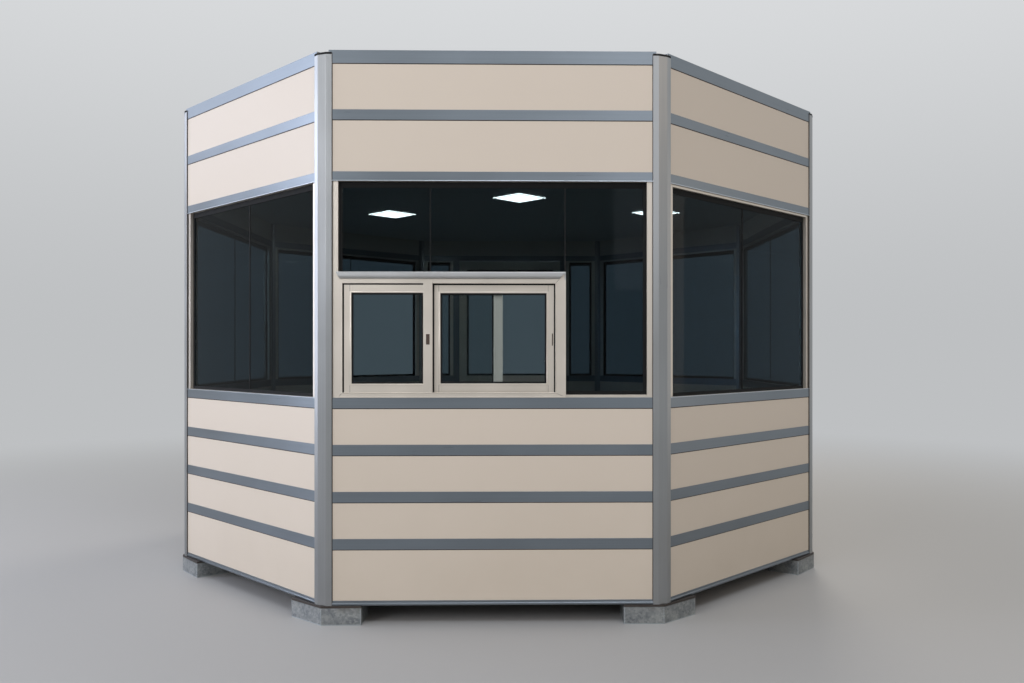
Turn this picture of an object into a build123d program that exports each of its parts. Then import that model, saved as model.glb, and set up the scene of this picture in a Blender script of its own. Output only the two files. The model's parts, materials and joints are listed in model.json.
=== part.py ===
from build123d import *
import math
import os

# Eight-sided guard booth. Millimetres, +Z up, the front wall faces -Y.
# The origin is on the ground, at the middle of the plan.
# Each wall is drawn where the front wall stands, x along it and y inwards from the panels' outside
# face, and is then moved out and turned to its own side.

# Plan: the panels' outside faces, corner to corner. Square sides and slanting sides take turns.
SQUARE_SIDE = 1543.0
SLANT_SIDE = 1424.0
SIDES = 8
SIDE_NAMES = ["front", "front_right", "right", "back_right", "back", "back_left", "left", "front_left"]
DOOR_SIDE = "back"

# Heights
FOOT_HEIGHT = 88.0
BODY_HEIGHT = 2500.0
BOTTOM_RAIL = 22.0
RAIL = 48.0
RAIL_PITCH = 212.0
FIRST_RAIL_CENTRE = 275.5      # above the underside of the body
LOWER_RAILS = 4                # the last one is the window sill
HEADER = 43.0
HEADER_BELOW_TOP = 546.0       # from the top of the body to the top of the rail over the windows
FASCIA_RAIL = 46.0
FASCIA_RAIL_BELOW_TOP = 267.0
TOP_RAIL = 59.0

# Wall build-up
PANEL = 50.0
FLANGE = 2.0
WEB = 3.0
GAP = 0.3                      # clearance between pieces that seat on each other

# Corner posts
RAIL_STOP = 47.5               # from the corner of the panel faces to the post's lip
LIP = 15.0                     # how far the lips reach over the wall
LIP_WALL = 3.4
POST_WALL = 3.0
NOSE_FACET = 26.0
POST_BELOW_TOP = 10.0
POST_CAP = 3.0

# Window frames and glass
JAMB = 27.0
BEAD = 12.0
FRAME_SETBACK = 3.0
FRAME_DEPTH = 44.0
GLASS = 8.0
GLASS_SETBACK = 24.0
SEAT = 9.0                     # depth of a glazing groove
GASKET = 16.0
GASKET_HEAD = 26.0
GASKET_THICK = 4.0
JOINT = 6.0                    # black joint between two panes
FRONT_JOINT_X = -285.0

# Serving window, low at the left of the front wall
SERVING_RIGHT = 329.0          # outer edge, from the middle of the front wall
SERVING_HEIGHT = 567.0
SERVING_PROUD = 6.0
SERVING_HOOD = 20.0
SERVING_PLATE = 3.0
SERVING_DEPTH = 66.0
SERVING_LAP = 8.0
SERVING_LEFT_BAR = 21.0
SERVING_RIGHT_BAR = 47.0
SERVING_TOP_BAR = 52.0
SERVING_BOTTOM_BAR = 23.5
SERVING_TOP_STEP = 32.0        # height of the hood
SERVING_HOOD_TOP = 5.0         # radius of the hood's upper edge
SERVING_LIP = 6.0              # width of the raised outer edge of the right and bottom bars
SERVING_LIP_PROUD = 9.0
SERVING_BODY = 12.0
SASH_DEPTH = 16.0
SASH_STILE = 47.0
SASH_MEETING = 41.0            # the sliding sashes' stiles where two sashes overlap
SASH_COVER = 41.5              # the left sash's meeting stile, flush with the frame's face
SASH_HEAD = 50.0
SASH_FOOT = 46.5
SASH_PITCH = 18.0
SASH_GLASS = 5.0
SASH_TUCK = 7.0                # how far a sash runs behind the frame's face
LEFT_SASH = 410.5
INNER_SASH = 356.0
SASH_TRACK = 1.2               # wall between two sash tracks
HOOD_FACETS = 6                # flats that make up each rounding of the hood

# Door
DOOR_OPENING = 880.0
DOOR_JAMB = 40.0
DOOR_CLEARANCE = 4.0
DOOR_STILE = 70.0
DOOR_FOOT_RAIL = 110.0
DOOR_STOP = 12.0               # depth of the stop behind the leaf
DOOR_PANEL = 24.0
THRESHOLD_RISE = 2.0
HANDLE_HEIGHT = 1000.0         # above the inside floor
HANDLE_PLATE_WIDTH = 32.0
HANDLE_PLATE_HEIGHT = 200.0
HANDLE_PLATE = 6.0
HANDLE_STEM = 34.0
HANDLE_STEM_RADIUS = 9.0
HANDLE_LEVER = 120.0
HANDLE_LEVER_THICK = 14.0
HINGES = 3
HINGE_RADIUS = 8.0
HINGE_HEIGHT = 100.0
HINGE_LEAF = 3.0
HINGE_LEAF_WIDTH = 28.0
HINGE_INSET = 180.0

# Floor, ceiling and roof
INSIDE = 58.0                  # from the panels' outside face to the loose inside pieces
BASE_HEIGHT = 40.0
BASE_WIDTH = 45.0
BASE_WALL = 4.0
JOIST_PITCH = 340.0
DECK = 18.0
CEILING_BELOW_ROOF = 298.0     # from the underside of the roof to the underside of the ceiling
CEILING = 12.0
CEILING_ANGLE = 25.0
CEILING_ANGLE_WALL = 2.0
ROOF_BELOW_TOP = 70.0
ROOF = 50.0
ROOF_ANGLE = 40.0
ROOF_ANGLE_WALL = 4.0
LIGHT_SIDE = 225.0
LIGHT_BODY = 200.0
LIGHT_BODY_HEIGHT = 30.0
LIGHT_TRIM = 4.0
LIGHTS = [(-773.0, 285.0), (104.0, -374.0), (1022.0, 190.0)]

# Feet
FOOT_SQUARE_LEG = 180.0
FOOT_SLANT_LEG = 220.0
FOOT_TURN = 40.0               # degrees between the two legs, a little less than the booth's corner
FOOT_DEPTH = 170.0
FOOT_PROUD = 6.0
FOOT_BEND = 3.0                # outside radius of the folded edges

# Worked out from the sizes above
TURN = 360.0 / SIDES
HALF_TURN = math.radians(TURN / 2)
SIN = math.sin(math.radians(TURN))
COS = math.cos(math.radians(TURN))
SQUARE_REACH = SQUARE_SIDE / 2 + SLANT_SIDE * SIN
SLANT_REACH = SLANT_SIDE / 2 + SQUARE_SIDE * SIN
BODY = FOOT_HEIGHT
TOP = BODY + BODY_HEIGHT
SILL_CENTRE = FIRST_RAIL_CENTRE + (LOWER_RAILS - 1) * RAIL_PITCH
WINDOW_BOTTOM = BODY + SILL_CENTRE + RAIL / 2
WINDOW_TOP = TOP - HEADER_BELOW_TOP - HEADER
ROOF_UNDERSIDE = TOP - ROOF_BELOW_TOP - ROOF
CEILING_UNDERSIDE = ROOF_UNDERSIDE - CEILING_BELOW_ROOF
POST_PROUD = FLANGE + GAP + GAP + LIP_WALL
WALL_STOP = RAIL_STOP - LIP + GAP
GROOVE = (GLASS_SETBACK - GAP, GLASS_SETBACK + GLASS + GAP)
FRAME_BACK = FRAME_SETBACK + FRAME_DEPTH
FLOOR_LEVEL = BODY + BASE_HEIGHT + GAP + DECK
GLASS_BITE = SEAT - 1.0
INNER_LIP = PANEL + FLANGE + GAP + GAP + LIP_WALL
WALL_FRONT = -GAP - FLANGE     # y of the rails' outside and inside faces
WALL_BACK = PANEL + GAP + FLANGE
LEAF_BACK = WALL_BACK - DOOR_STOP - GAP


def side_length(k):
    return SQUARE_SIDE if k % 2 == 0 else SLANT_SIDE


def side_reach(k):
    return SQUARE_REACH if k % 2 == 0 else SLANT_REACH


def on_side(k, shapes):
    """Move pieces drawn on the front wall's line to side k of the booth."""
    spot = Rot(0, 0, TURN * k) * Pos(0, -side_reach(k), 0)
    return [spot * shape for shape in shapes]


def flat(points):
    return make_face(Polyline(*points, close=True))


def upright(points, z0, z1):
    """A prism standing on z0 whose plan is the outline of (x, y) points."""
    return Pos(0, 0, z0) * extrude(flat(points), amount=z1 - z0, dir=(0, 0, 1))


def lying(points, x0, x1):
    """A prism along x whose section is the outline of (y, z) points."""
    section = flat([(0, y, z) for y, z in points])
    return Pos(x0, 0, 0) * extrude(section, amount=x1 - x0, dir=(1, 0, 0))


def block(x0, x1, y0, y1, z0, z1):
    return upright([(x0, y0), (x1, y0), (x1, y1), (x0, y1)], z0, z1)


def grooved(a0, a1, y0, y1, low=False, high=False, groove=GROOVE, depth=SEAT):
    """Section of a bar, a across it and y through it, with a groove in its low or high edge."""
    g0, g1 = groove
    points = [(a0, y0), (a1, y0)]
    if high:
        points += [(a1, g0), (a1 - depth, g0), (a1 - depth, g1), (a1, g1)]
    points += [(a1, y1), (a0, y1)]
    if low:
        points += [(a0, g1), (a0 + depth, g1), (a0 + depth, g0), (a0, g0)]
    return points


def stile(section, z0, z1):
    return upright(section, z0, z1)


def rail(section, x0, x1):
    return lying([(y, a) for a, y in section], x0, x1)


# Rails: a wall's panels stand in and between them


def h_section(z0, height):
    """An H lying on its side: two flanges and a web at mid-height that the panels stand against."""
    out, inn = WALL_FRONT, WALL_BACK
    lo, hi = z0 + height / 2 - WEB / 2, z0 + height / 2 + WEB / 2
    top = z0 + height
    return [
        (out, z0), (out + FLANGE, z0), (out + FLANGE, lo), (inn - FLANGE, lo),
        (inn - FLANGE, z0), (inn, z0), (inn, top), (inn - FLANGE, top),
        (inn - FLANGE, hi), (out + FLANGE, hi), (out + FLANGE, top), (out, top),
    ]


def u_section(web_z0, web_z1, open_z):
    """A U whose web lies at one end and whose flanges reach open_z, up or down."""
    out, inn = WALL_FRONT, WALL_BACK
    outer = web_z0 if open_z > web_z1 else web_z1
    inner = web_z1 if open_z > web_z1 else web_z0
    return [
        (out, outer), (out, open_z), (out + FLANGE, open_z), (out + FLANGE, inner),
        (inn - FLANGE, inner), (inn - FLANGE, open_z), (inn, open_z), (inn, outer),
    ]


def rail_rows():
    """Each rail from the bottom up: its section, and the underside and top of its web."""
    rows = [(u_section(BODY, BODY + WEB, BODY + BOTTOM_RAIL), BODY, BODY + WEB)]
    h_rails = []
    for i in range(LOWER_RAILS):
        centre = BODY + FIRST_RAIL_CENTRE + i * RAIL_PITCH
        h_rails.append((centre - RAIL / 2, RAIL))
    h_rails.append((WINDOW_TOP, HEADER))
    h_rails.append((TOP - FASCIA_RAIL_BELOW_TOP - FASCIA_RAIL, FASCIA_RAIL))
    for z0, height in h_rails:
        middle = z0 + height / 2
        rows.append((h_section(z0, height), middle - WEB / 2, middle + WEB / 2))
    rows.append((u_section(TOP - WEB, TOP, TOP - TOP_RAIL), TOP - WEB, TOP))
    return rows


SILL_ROW = LOWER_RAILS
HEADER_ROW = LOWER_RAILS + 1
DOOR_FRAME_HALF = DOOR_OPENING / 2 + DOOR_JAMB


def wall_spans(k, row):
    """Where the wall of side k runs at one row: all across, or to each side of the door."""
    half = side_length(k) / 2 - WALL_STOP
    if SIDE_NAMES[k] == DOOR_SIDE and row < HEADER_ROW:
        return [(-half, -DOOR_FRAME_HALF - GAP), (DOOR_FRAME_HALF + GAP, half)]
    return [(-half, half)]


def wall_rails(k):
    solids = []
    for row, (section, low, high) in enumerate(rail_rows()):
        solids += [lying(section, x0, x1) for x0, x1 in wall_spans(k, row)]
    return solids


def wall_panels(k):
    rows = rail_rows()
    solids = []
    for row in range(len(rows) - 1):
        if row == SILL_ROW:
            continue
        z0, z1 = rows[row][2] + GAP, rows[row + 1][1] - GAP
        solids += [block(x0, x1, 0, PANEL, z0, z1) for x0, x1 in wall_spans(k, row)]
    return solids


# Windows


def window_limits(k):
    """Underside and top of the window frame, in the channels of the sill and the header."""
    rows = rail_rows()
    return rows[SILL_ROW][2] + GAP, rows[HEADER_ROW][1] - GAP


def window_spans(k):
    """Each window of side k: its clear opening, and how far its jambs run into what holds them."""
    clear = side_length(k) / 2 - RAIL_STOP - JAMB
    held = side_length(k) / 2 - WALL_STOP
    if SIDE_NAMES[k] != DOOR_SIDE:
        return [(-clear, clear, -held, held)]
    door = DOOR_FRAME_HALF + GAP
    return [(-clear, -door - JAMB, -held, -door), (door + JAMB, clear, door, held)]


def bead_limits(k):
    """Where the glass of side k stops showing: some bars stand out of their rail by a bead."""
    under_bead = SIDE_NAMES[k] == "front"
    over_bead = SIDE_NAMES[k] not in ("front", "front_left")
    return WINDOW_BOTTOM + BEAD * under_bead, WINDOW_TOP - BEAD * over_bead


def window_frame(k):
    z0, z1 = window_limits(k)
    low, high = bead_limits(k)
    solids = []
    y0, y1 = FRAME_SETBACK, FRAME_BACK
    for x0, x1, held0, held1 in window_spans(k):
        solids.append(stile(grooved(held0, x0, y0, y1, high=True), z0, z1))
        solids.append(stile(grooved(x1, held1, y0, y1, low=True), z0, z1))
        top = grooved(high, z1, y0, y1, low=True)
        bottom = grooved(z0, low, y0, y1, high=True)
        solids.append(rail(top, x0 + GAP, x1 - GAP))
        if SIDE_NAMES[k] == "front":
            solids.append(rail(bottom, SERVING_RIGHT + GAP, x1 - GAP))
            filler = grooved(z0, WINDOW_BOTTOM - GAP, y0, y1)
            solids.append(rail(filler, x0 + GAP, SERVING_RIGHT))
        else:
            solids.append(rail(bottom, x0 + GAP, x1 - GAP))
    return solids


def panes(k):
    """Each pane of side k as (x0, x1, z0, z1) of what shows of it, with its joints' x and z."""
    low, high = bead_limits(k)
    if SIDE_NAMES[k] == "front":
        (x0, x1, held0, held1), = window_spans(k)
        over = WINDOW_BOTTOM + SERVING_HEIGHT
        joint = SERVING_RIGHT - JOINT / 2
        return [
            (x0, FRONT_JOINT_X - JOINT / 2, over, high, "left"),
            (FRONT_JOINT_X + JOINT / 2, joint - JOINT / 2, over, high, ""),
            (joint + JOINT / 2, x1, low, high, "right"),
        ]
    if SIDE_NAMES[k] == DOOR_SIDE:
        return [(x0, x1, low, high, "both") for x0, x1, held0, held1 in window_spans(k)]
    (x0, x1, held0, held1), = window_spans(k)
    return [(x0, -JOINT / 2, low, high, "left"), (JOINT / 2, x1, low, high, "right")]


def wall_glass(k):
    solids = []
    for x0, x1, z0, z1, held in panes(k):
        left = GLASS_BITE if held in ("left", "both") else 0.0
        right = GLASS_BITE if held in ("right", "both") else 0.0
        y0, y1 = GLASS_SETBACK, GLASS_SETBACK + GLASS
        solids.append(block(x0 - left, x1 + right, y0, y1, z0 - GLASS_BITE, z1 + GLASS_BITE))
    return solids


def wall_joints(k):
    """Black joints that close the slits between neighbouring panes."""
    y0, y1 = GLASS_SETBACK, GLASS_SETBACK + GLASS
    half = JOINT / 2 - GAP
    low, high = bead_limits(k)
    low, high = low + GAP, high - GAP
    if SIDE_NAMES[k] == DOOR_SIDE:
        return []
    if SIDE_NAMES[k] == "front":
        over = WINDOW_BOTTOM + SERVING_HEIGHT + GAP
        middle = SERVING_RIGHT - JOINT / 2
        return [
            block(FRONT_JOINT_X - half, FRONT_JOINT_X + half, y0, y1, over, high),
            block(middle - half, middle + half, y0, y1, over, high),
        ]
    return [block(-half, half, y0, y1, low, high)]


def ring(x0, x1, z0, z1, y0, y1):
    """Four gasket strips round the inside of an opening."""
    in0, in1 = x0 + GASKET + GAP, x1 - GASKET - GAP
    return [
        block(x0, x0 + GASKET, y0, y1, z0, z1),
        block(x1 - GASKET, x1, y0, y1, z0, z1),
        block(in0, in1, y0, y1, z1 - GASKET_HEAD, z1),
        block(in0, in1, y0, y1, z0, z0 + GASKET),
    ]


def wall_gaskets(k):
    y1 = GLASS_SETBACK - GAP
    y0 = y1 - GASKET_THICK
    low, high = bead_limits(k)
    low, high = low + GAP, high - GAP
    solids = []
    for x0, x1, held0, held1 in window_spans(k):
        x0, x1 = x0 + GAP, x1 - GAP
        if SIDE_NAMES[k] != "front":
            solids += ring(x0, x1, low, high, y0, y1)
            continue
        over = WINDOW_BOTTOM + SERVING_HEIGHT + GAP
        beside = SERVING_RIGHT + GAP
        inner = x1 - GASKET - GAP
        solids += [
            block(x0, x0 + GASKET, y0, y1, over, high),
            block(x1 - GASKET, x1, y0, y1, low, high),
            block(x0 + GASKET + GAP, inner, y0, y1, high - GASKET_HEAD, high),
            block(beside, inner, y0, y1, low, low + GASKET),
        ]
    return solids


# Serving window


def serving_box():
    """Outer edges of the serving window: left, right, bottom and top."""
    (x0, x1, held0, held1), = window_spans(0)
    return x0 + GAP, SERVING_RIGHT, WINDOW_BOTTOM, WINDOW_BOTTOM + SERVING_HEIGHT


def arc(a, y, radius, start):
    """A quarter turn of a section's outline round (a, y), from the angle start in degrees."""
    steps = [math.radians(start + 90 * i / HOOD_FACETS) for i in range(HOOD_FACETS + 1)]
    return [(a + radius * math.cos(turn), y + radius * math.sin(turn)) for turn in steps]


def hood_outline():
    """Front of the top bar: upright, and rounded under as far as it stands out of the frame."""
    under = SERVING_HOOD - SERVING_PROUD
    small = SERVING_HOOD_TOP
    return (
        arc(small, -SERVING_HOOD + small, small, 180)
        + arc(SERVING_TOP_STEP - under, -SERVING_PROUD, under, 270)
    )


def serving_section(width, lap=0.0, raised=(), seat=False):
    """Section of a frame bar, a from its outer edge inwards and y through the wall."""
    front = -SERVING_PROUD
    back = front + SERVING_DEPTH
    plate = front + SERVING_PLATE
    g0, g1 = GROOVE
    points = list(raised) or [(-lap, front)]
    points += [(width, front), (width, plate), (SERVING_BODY, plate)]
    track = SERVING_BODY + SASH_TUCK
    for i in (1, 2):
        y = plate + i * SASH_PITCH
        points += [(SERVING_BODY, y), (track, y)]
        points += [(track, y + SASH_TRACK), (SERVING_BODY, y + SASH_TRACK)]
    points += [(SERVING_BODY, back), (0, back)]
    if seat:
        points += [(0, g1), (SEAT, g1), (SEAT, g0), (0, g0)]
    if lap:
        points += [(0, plate), (-lap, plate)]
    return points


def serving_frame():
    """Four bars, mitred where they meet, with the sash tracks inside them."""
    x0, x1, z0, z1 = serving_box()
    lip = [(0, -SERVING_LIP_PROUD), (SERVING_LIP, -SERVING_LIP_PROUD), (SERVING_LIP, -SERVING_PROUD)]
    left = [(x0 + a, y) for a, y in serving_section(SERVING_LEFT_BAR, lap=SERVING_LAP)]
    right = [(x1 - a, y) for a, y in serving_section(SERVING_RIGHT_BAR, raised=lip, seat=True)]
    top = [(y, z1 - a) for a, y in serving_section(SERVING_TOP_BAR, raised=hood_outline(), seat=True)]
    bottom = [(y, z0 + a) for a, y in serving_section(SERVING_BOTTOM_BAR, raised=lip)]
    y0, y1 = -SERVING_HOOD - 1, SERVING_DEPTH + 1
    in0, in1 = x0 + SERVING_LEFT_BAR, x1 - SERVING_RIGHT_BAR
    low, high = z0 + SERVING_BOTTOM_BAR, z1 - SERVING_TOP_BAR
    cut = GAP / 2
    out0 = x0 - SERVING_LAP

    def mitre(points):
        section = flat([(x, y0, z) for x, z in points])
        return extrude(section, amount=y1 - y0, dir=(0, 1, 0))

    top_piece = mitre([(out0, z1), (x1, z1), (in1, high + cut), (in0, high + cut)])
    bottom_piece = mitre([(out0, z0), (in0, low - cut), (in1, low - cut), (x1, z0)])
    left_piece = mitre([(out0, z0 + cut), (out0, z1 - cut), (in0, high - cut), (in0, low + cut)])
    right_piece = mitre([(x1, z0 + cut), (x1, z1 - cut), (in1, high - cut), (in1, low + cut)])
    beside_jamb = block(out0 - 1, x0, -SERVING_PROUD + SERVING_PLATE, y1, z0 - 1, z1 + 1)
    cover0, cover1 = cover_limits()
    cover_notch = block(cover0 - GAP, cover1 + GAP, y0, -SERVING_PROUD + SERVING_PLATE + GAP, high - 1, z1)
    cover_notch &= block(x0, x1, -SERVING_PROUD - GAP, y1, z0, z1 - SERVING_TOP_STEP)
    return [
        stile(left, z0, z1) & left_piece,
        stile(right, z0, z1) & right_piece,
        (lying(top, out0, x1) & top_piece) - beside_jamb - cover_notch,
        (lying(bottom, out0, x1) & bottom_piece) - beside_jamb,
    ]


def sash_edges():
    """Outer edges shared by the sashes: left, right, bottom and top, behind the frame's face."""
    x0, x1, z0, z1 = serving_box()
    left = x0 + SERVING_LEFT_BAR - SASH_TUCK
    right = x1 - SERVING_RIGHT_BAR + SASH_TUCK
    return left, right, z0 + SERVING_BOTTOM_BAR - SASH_TUCK, z1 - SERVING_TOP_BAR + SASH_TUCK


def cover_limits():
    left, right, low, high = sash_edges()
    return left + LEFT_SASH - SASH_COVER, left + LEFT_SASH


def sash_places():
    """Each sash: left and right edge, widths of its two stiles, and the y of its outside face."""
    left, right, low, high = sash_edges()
    first = -SERVING_PROUD + SERVING_PLATE + GAP
    meet = left + LEFT_SASH
    second = first + SASH_PITCH + SASH_TRACK
    third = second + SASH_PITCH
    inner = meet - SASH_MEETING
    return {
        "left": (left, meet, SASH_STILE, SASH_COVER, first),
        "right": (meet - SASH_TUCK, right, SASH_MEETING, SASH_STILE, second),
        "inner": (inner, inner + INNER_SASH, SASH_MEETING, SASH_MEETING, third),
    }


def sash(x0, x1, stile0, stile1, y0):
    """Two stiles and two rails with a groove for the pane."""
    left, right, z0, z1 = sash_edges()
    y1 = y0 + SASH_DEPTH
    middle = (y0 + y1) / 2
    groove = (middle - SASH_GLASS / 2 - GAP, middle + SASH_GLASS / 2 + GAP)
    in0, in1 = x0 + stile0, x1 - stile1
    low, high = z0 + SASH_FOOT, z1 - SASH_HEAD
    return [
        stile(grooved(x0, in0, y0, y1, high=True, groove=groove), z0, z1),
        stile(grooved(in1, x1, y0, y1, low=True, groove=groove), z0, z1),
        rail(grooved(high, z1, y0, y1, low=True, groove=groove), in0 + GAP, in1 - GAP),
        rail(grooved(z0, low, y0, y1, high=True, groove=groove), in0 + GAP, in1 - GAP),
    ]


def left_sash():
    """Its meeting stile comes forward to the frame's face and up to the hood."""
    solids = sash(*sash_places()["left"])
    x0, x1, z0, z1 = serving_box()
    cover0, cover1 = cover_limits()
    low, high = z0 + SERVING_BOTTOM_BAR + GAP, z1 - SERVING_TOP_STEP - GAP
    face = -SERVING_PROUD
    solids[1] += block(cover0, cover1, face, face + SERVING_PLATE + 2 * GAP, low, high)
    return solids


def sash_pane(x0, x1, stile0, stile1, y0):
    left, right, z0, z1 = sash_edges()
    middle = y0 + SASH_DEPTH / 2
    low, high = z0 + SASH_FOOT - GLASS_BITE, z1 - SASH_HEAD + GLASS_BITE
    y_a, y_b = middle - SASH_GLASS / 2, middle + SASH_GLASS / 2
    return block(x0 + stile0 - GLASS_BITE, x1 - stile1 + GLASS_BITE, y_a, y_b, low, high)


# Door


def door_edges():
    """Clear opening of the door frame: half width, underside and top of the leaf's space."""
    return DOOR_OPENING / 2, FLOOR_LEVEL + THRESHOLD_RISE, WINDOW_TOP


def door_frame():
    half, low, high = door_edges()
    front, back = WALL_FRONT, WALL_BACK
    z1 = WINDOW_TOP - GAP
    stop = DOOR_STOP
    jamb = [
        (DOOR_FRAME_HALF, front), (half, front), (half, back - stop), (half - stop, back - stop),
        (half - stop, back), (DOOR_FRAME_HALF, back),
    ]
    other = [(-x, y) for x, y in jamb]
    sill = [(front, BODY), (back, BODY), (back, low), (front, low - THRESHOLD_RISE)]
    rows = rail_rows()
    head_top = rows[HEADER_ROW][1] - GAP
    head = [(FRAME_SETBACK, WINDOW_TOP + GAP), (FRAME_BACK, WINDOW_TOP + GAP)]
    head += [(FRAME_BACK, head_top), (FRAME_SETBACK, head_top)]
    return [
        upright(jamb, BODY, z1),
        upright(other, BODY, z1),
        lying(sill, -half + GAP, half - GAP),
        lying(head, -DOOR_FRAME_HALF + GAP, DOOR_FRAME_HALF - GAP),
    ]


def leaf_box():
    half, low, high = door_edges()
    return -half + DOOR_CLEARANCE, half - DOOR_CLEARANCE, low + DOOR_CLEARANCE, high - DOOR_CLEARANCE


def leaf_rows():
    """Cross rails of the door leaf, in line with the rails of the walls, as bottom and top."""
    x0, x1, z0, z1 = leaf_box()
    rows = [(z0, z0 + DOOR_FOOT_RAIL)]
    for i in range(1, LOWER_RAILS):
        centre = BODY + FIRST_RAIL_CENTRE + i * RAIL_PITCH
        rows.append((centre - RAIL / 2, centre + RAIL / 2))
    rows.append((z1 - DOOR_STILE, z1))
    return rows


def door_leaf():
    x0, x1, z0, z1 = leaf_box()
    y0, y1 = WALL_FRONT, LEAF_BACK
    in0, in1 = x0 + DOOR_STILE, x1 - DOOR_STILE
    middle = (y0 + y1) / 2
    wide = (middle - DOOR_PANEL / 2 - GAP, middle + DOOR_PANEL / 2 + GAP)
    solids = [
        stile(grooved(x0, in0, y0, y1, high=True, groove=wide), z0, z1),
        stile(grooved(in1, x1, y0, y1, low=True, groove=wide), z0, z1),
    ]
    rows = leaf_rows()
    for i, (a0, a1) in enumerate(rows):
        section = grooved(a0, a1, y0, y1, low=i > 0, high=i < len(rows) - 1, groove=wide)
        solids.append(rail(section, in0 + GAP, in1 - GAP))
    return solids


def leaf_fills():
    """Spaces between the cross rails of the leaf, and the y of their middle."""
    x0, x1, z0, z1 = leaf_box()
    rows = leaf_rows()
    edge = GLASS_BITE
    xa, xb = x0 + DOOR_STILE - edge, x1 - DOOR_STILE + edge
    spaces = []
    for low, high in zip(rows[:-1], rows[1:]):
        spaces.append((xa, xb, low[1] - edge, high[0] + edge))
    return spaces, (WALL_FRONT + LEAF_BACK) / 2


def door_panels():
    spaces, middle = leaf_fills()
    y0, y1 = middle - DOOR_PANEL / 2, middle + DOOR_PANEL / 2
    return [block(x0, x1, y0, y1, z0, z1) for x0, x1, z0, z1 in spaces[:-1]]


def door_glass():
    """A sealed double pane as thick as the door's panels."""
    spaces, middle = leaf_fills()
    x0, x1, z0, z1 = spaces[-1]
    return [block(x0, x1, middle - DOOR_PANEL / 2, middle + DOOR_PANEL / 2, z0, z1)]


def lever_side(x, z, face, out):
    """Plate, stem and lever on one face of the leaf; out is -1 outside and 1 inside."""
    plate_mid = face + out * HANDLE_PLATE / 2
    plate = Pos(x, plate_mid, z) * Box(HANDLE_PLATE_WIDTH, HANDLE_PLATE, HANDLE_PLATE_HEIGHT)
    plate = fillet(plate.edges().filter_by(Axis.Y), HANDLE_PLATE_WIDTH * 0.3)
    stem_mid = face + out * (HANDLE_PLATE + HANDLE_STEM / 2)
    stem = Pos(x, stem_mid, z) * Rot(90, 0, 0) * Cylinder(HANDLE_STEM_RADIUS, HANDLE_STEM)
    lever_y = face + out * (HANDLE_PLATE + HANDLE_STEM - HANDLE_LEVER_THICK / 2)
    lever_x = x + HANDLE_LEVER / 2 - HANDLE_STEM_RADIUS
    lever = Pos(lever_x, lever_y, z) * Box(HANDLE_LEVER, HANDLE_LEVER_THICK, HANDLE_STEM_RADIUS * 2)
    lever = fillet(lever.edges().filter_by(Axis.Y), HANDLE_STEM_RADIUS * 0.9)
    return plate + stem + lever


def door_handle():
    x0, x1, z0, z1 = leaf_box()
    x = x0 + DOOR_STILE / 2
    z = FLOOR_LEVEL + HANDLE_HEIGHT
    outside = lever_side(x, z, WALL_FRONT - GAP, -1)
    inside = lever_side(x, z, LEAF_BACK + GAP, 1)
    return [outside, inside]


def door_hinges():
    """Knuckles on the outside, with one leaf on the door and one on the jamb."""
    x0, x1, z0, z1 = leaf_box()
    pin_x = x1 + DOOR_CLEARANCE / 2
    face = WALL_FRONT - GAP
    solids = []
    span = z1 - z0 - 2 * HINGE_INSET
    for i in range(HINGES):
        z = z0 + HINGE_INSET + span * i / (HINGES - 1)
        knuckle = Pos(pin_x, face - HINGE_RADIUS, z) * Cylinder(HINGE_RADIUS, HINGE_HEIGHT)
        leaf = Pos(pin_x, face - HINGE_LEAF / 2, z) * Box(HINGE_LEAF_WIDTH * 2, HINGE_LEAF, HINGE_HEIGHT)
        solids.append(knuckle + leaf)
    return solids


# Corner posts and feet, drawn at the right-hand end of side k


def beside_corner(t, n, second):
    """A point t along a wall from the corner and n outwards: the wall of side k, or the next one."""
    if second:
        return (t * COS + n * SIN, t * SIN - n * COS)
    return (-t, -n)


def both_ways(points):
    """An outline from its half on one wall and the mirror of that on the next wall."""
    first = [beside_corner(t, n, False) for t, n in points]
    other = [beside_corner(t, n, True) for t, n in reversed(points)]
    return first + other


def at_corner(k, shape):
    spot = Rot(0, 0, TURN * k) * Pos(side_length(k) / 2, -side_reach(k), 0)
    return spot * shape


def post_outline():
    facet_end = RAIL_STOP - NOSE_FACET
    channel = RAIL_STOP - LIP
    outer_lip = FLANGE + GAP + GAP
    inner_lip = -PANEL - FLANGE - GAP - GAP
    bend = INNER_LIP * math.tan(HALF_TURN)
    half = [
        (facet_end, POST_PROUD), (RAIL_STOP, POST_PROUD), (RAIL_STOP, outer_lip),
        (channel, outer_lip), (channel, inner_lip), (RAIL_STOP, inner_lip),
        (RAIL_STOP, -INNER_LIP), (bend, -INNER_LIP),
    ]
    points = both_ways(half)
    del points[len(half)]      # the inner corner is the same point on both walls
    return points


def post_void():
    nose = RAIL_STOP - NOSE_FACET + POST_WALL * math.tan(HALF_TURN / 2)
    side = RAIL_STOP - LIP - POST_WALL
    depth = INNER_LIP - POST_WALL
    bend = depth * math.tan(HALF_TURN)
    half = [(nose, POST_PROUD - POST_WALL), (side, POST_PROUD - POST_WALL), (side, -depth), (bend, -depth)]
    points = both_ways(half)
    del points[len(half)]
    return points


def corner_post(k):
    top = TOP - POST_BELOW_TOP - POST_CAP
    post = upright(post_outline(), BODY, top) - upright(post_void(), BODY - 1, top + 1)
    return at_corner(k, post)


def post_cap(k):
    top = TOP - POST_BELOW_TOP
    return at_corner(k, upright(post_outline(), top - POST_CAP + GAP, top))


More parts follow.
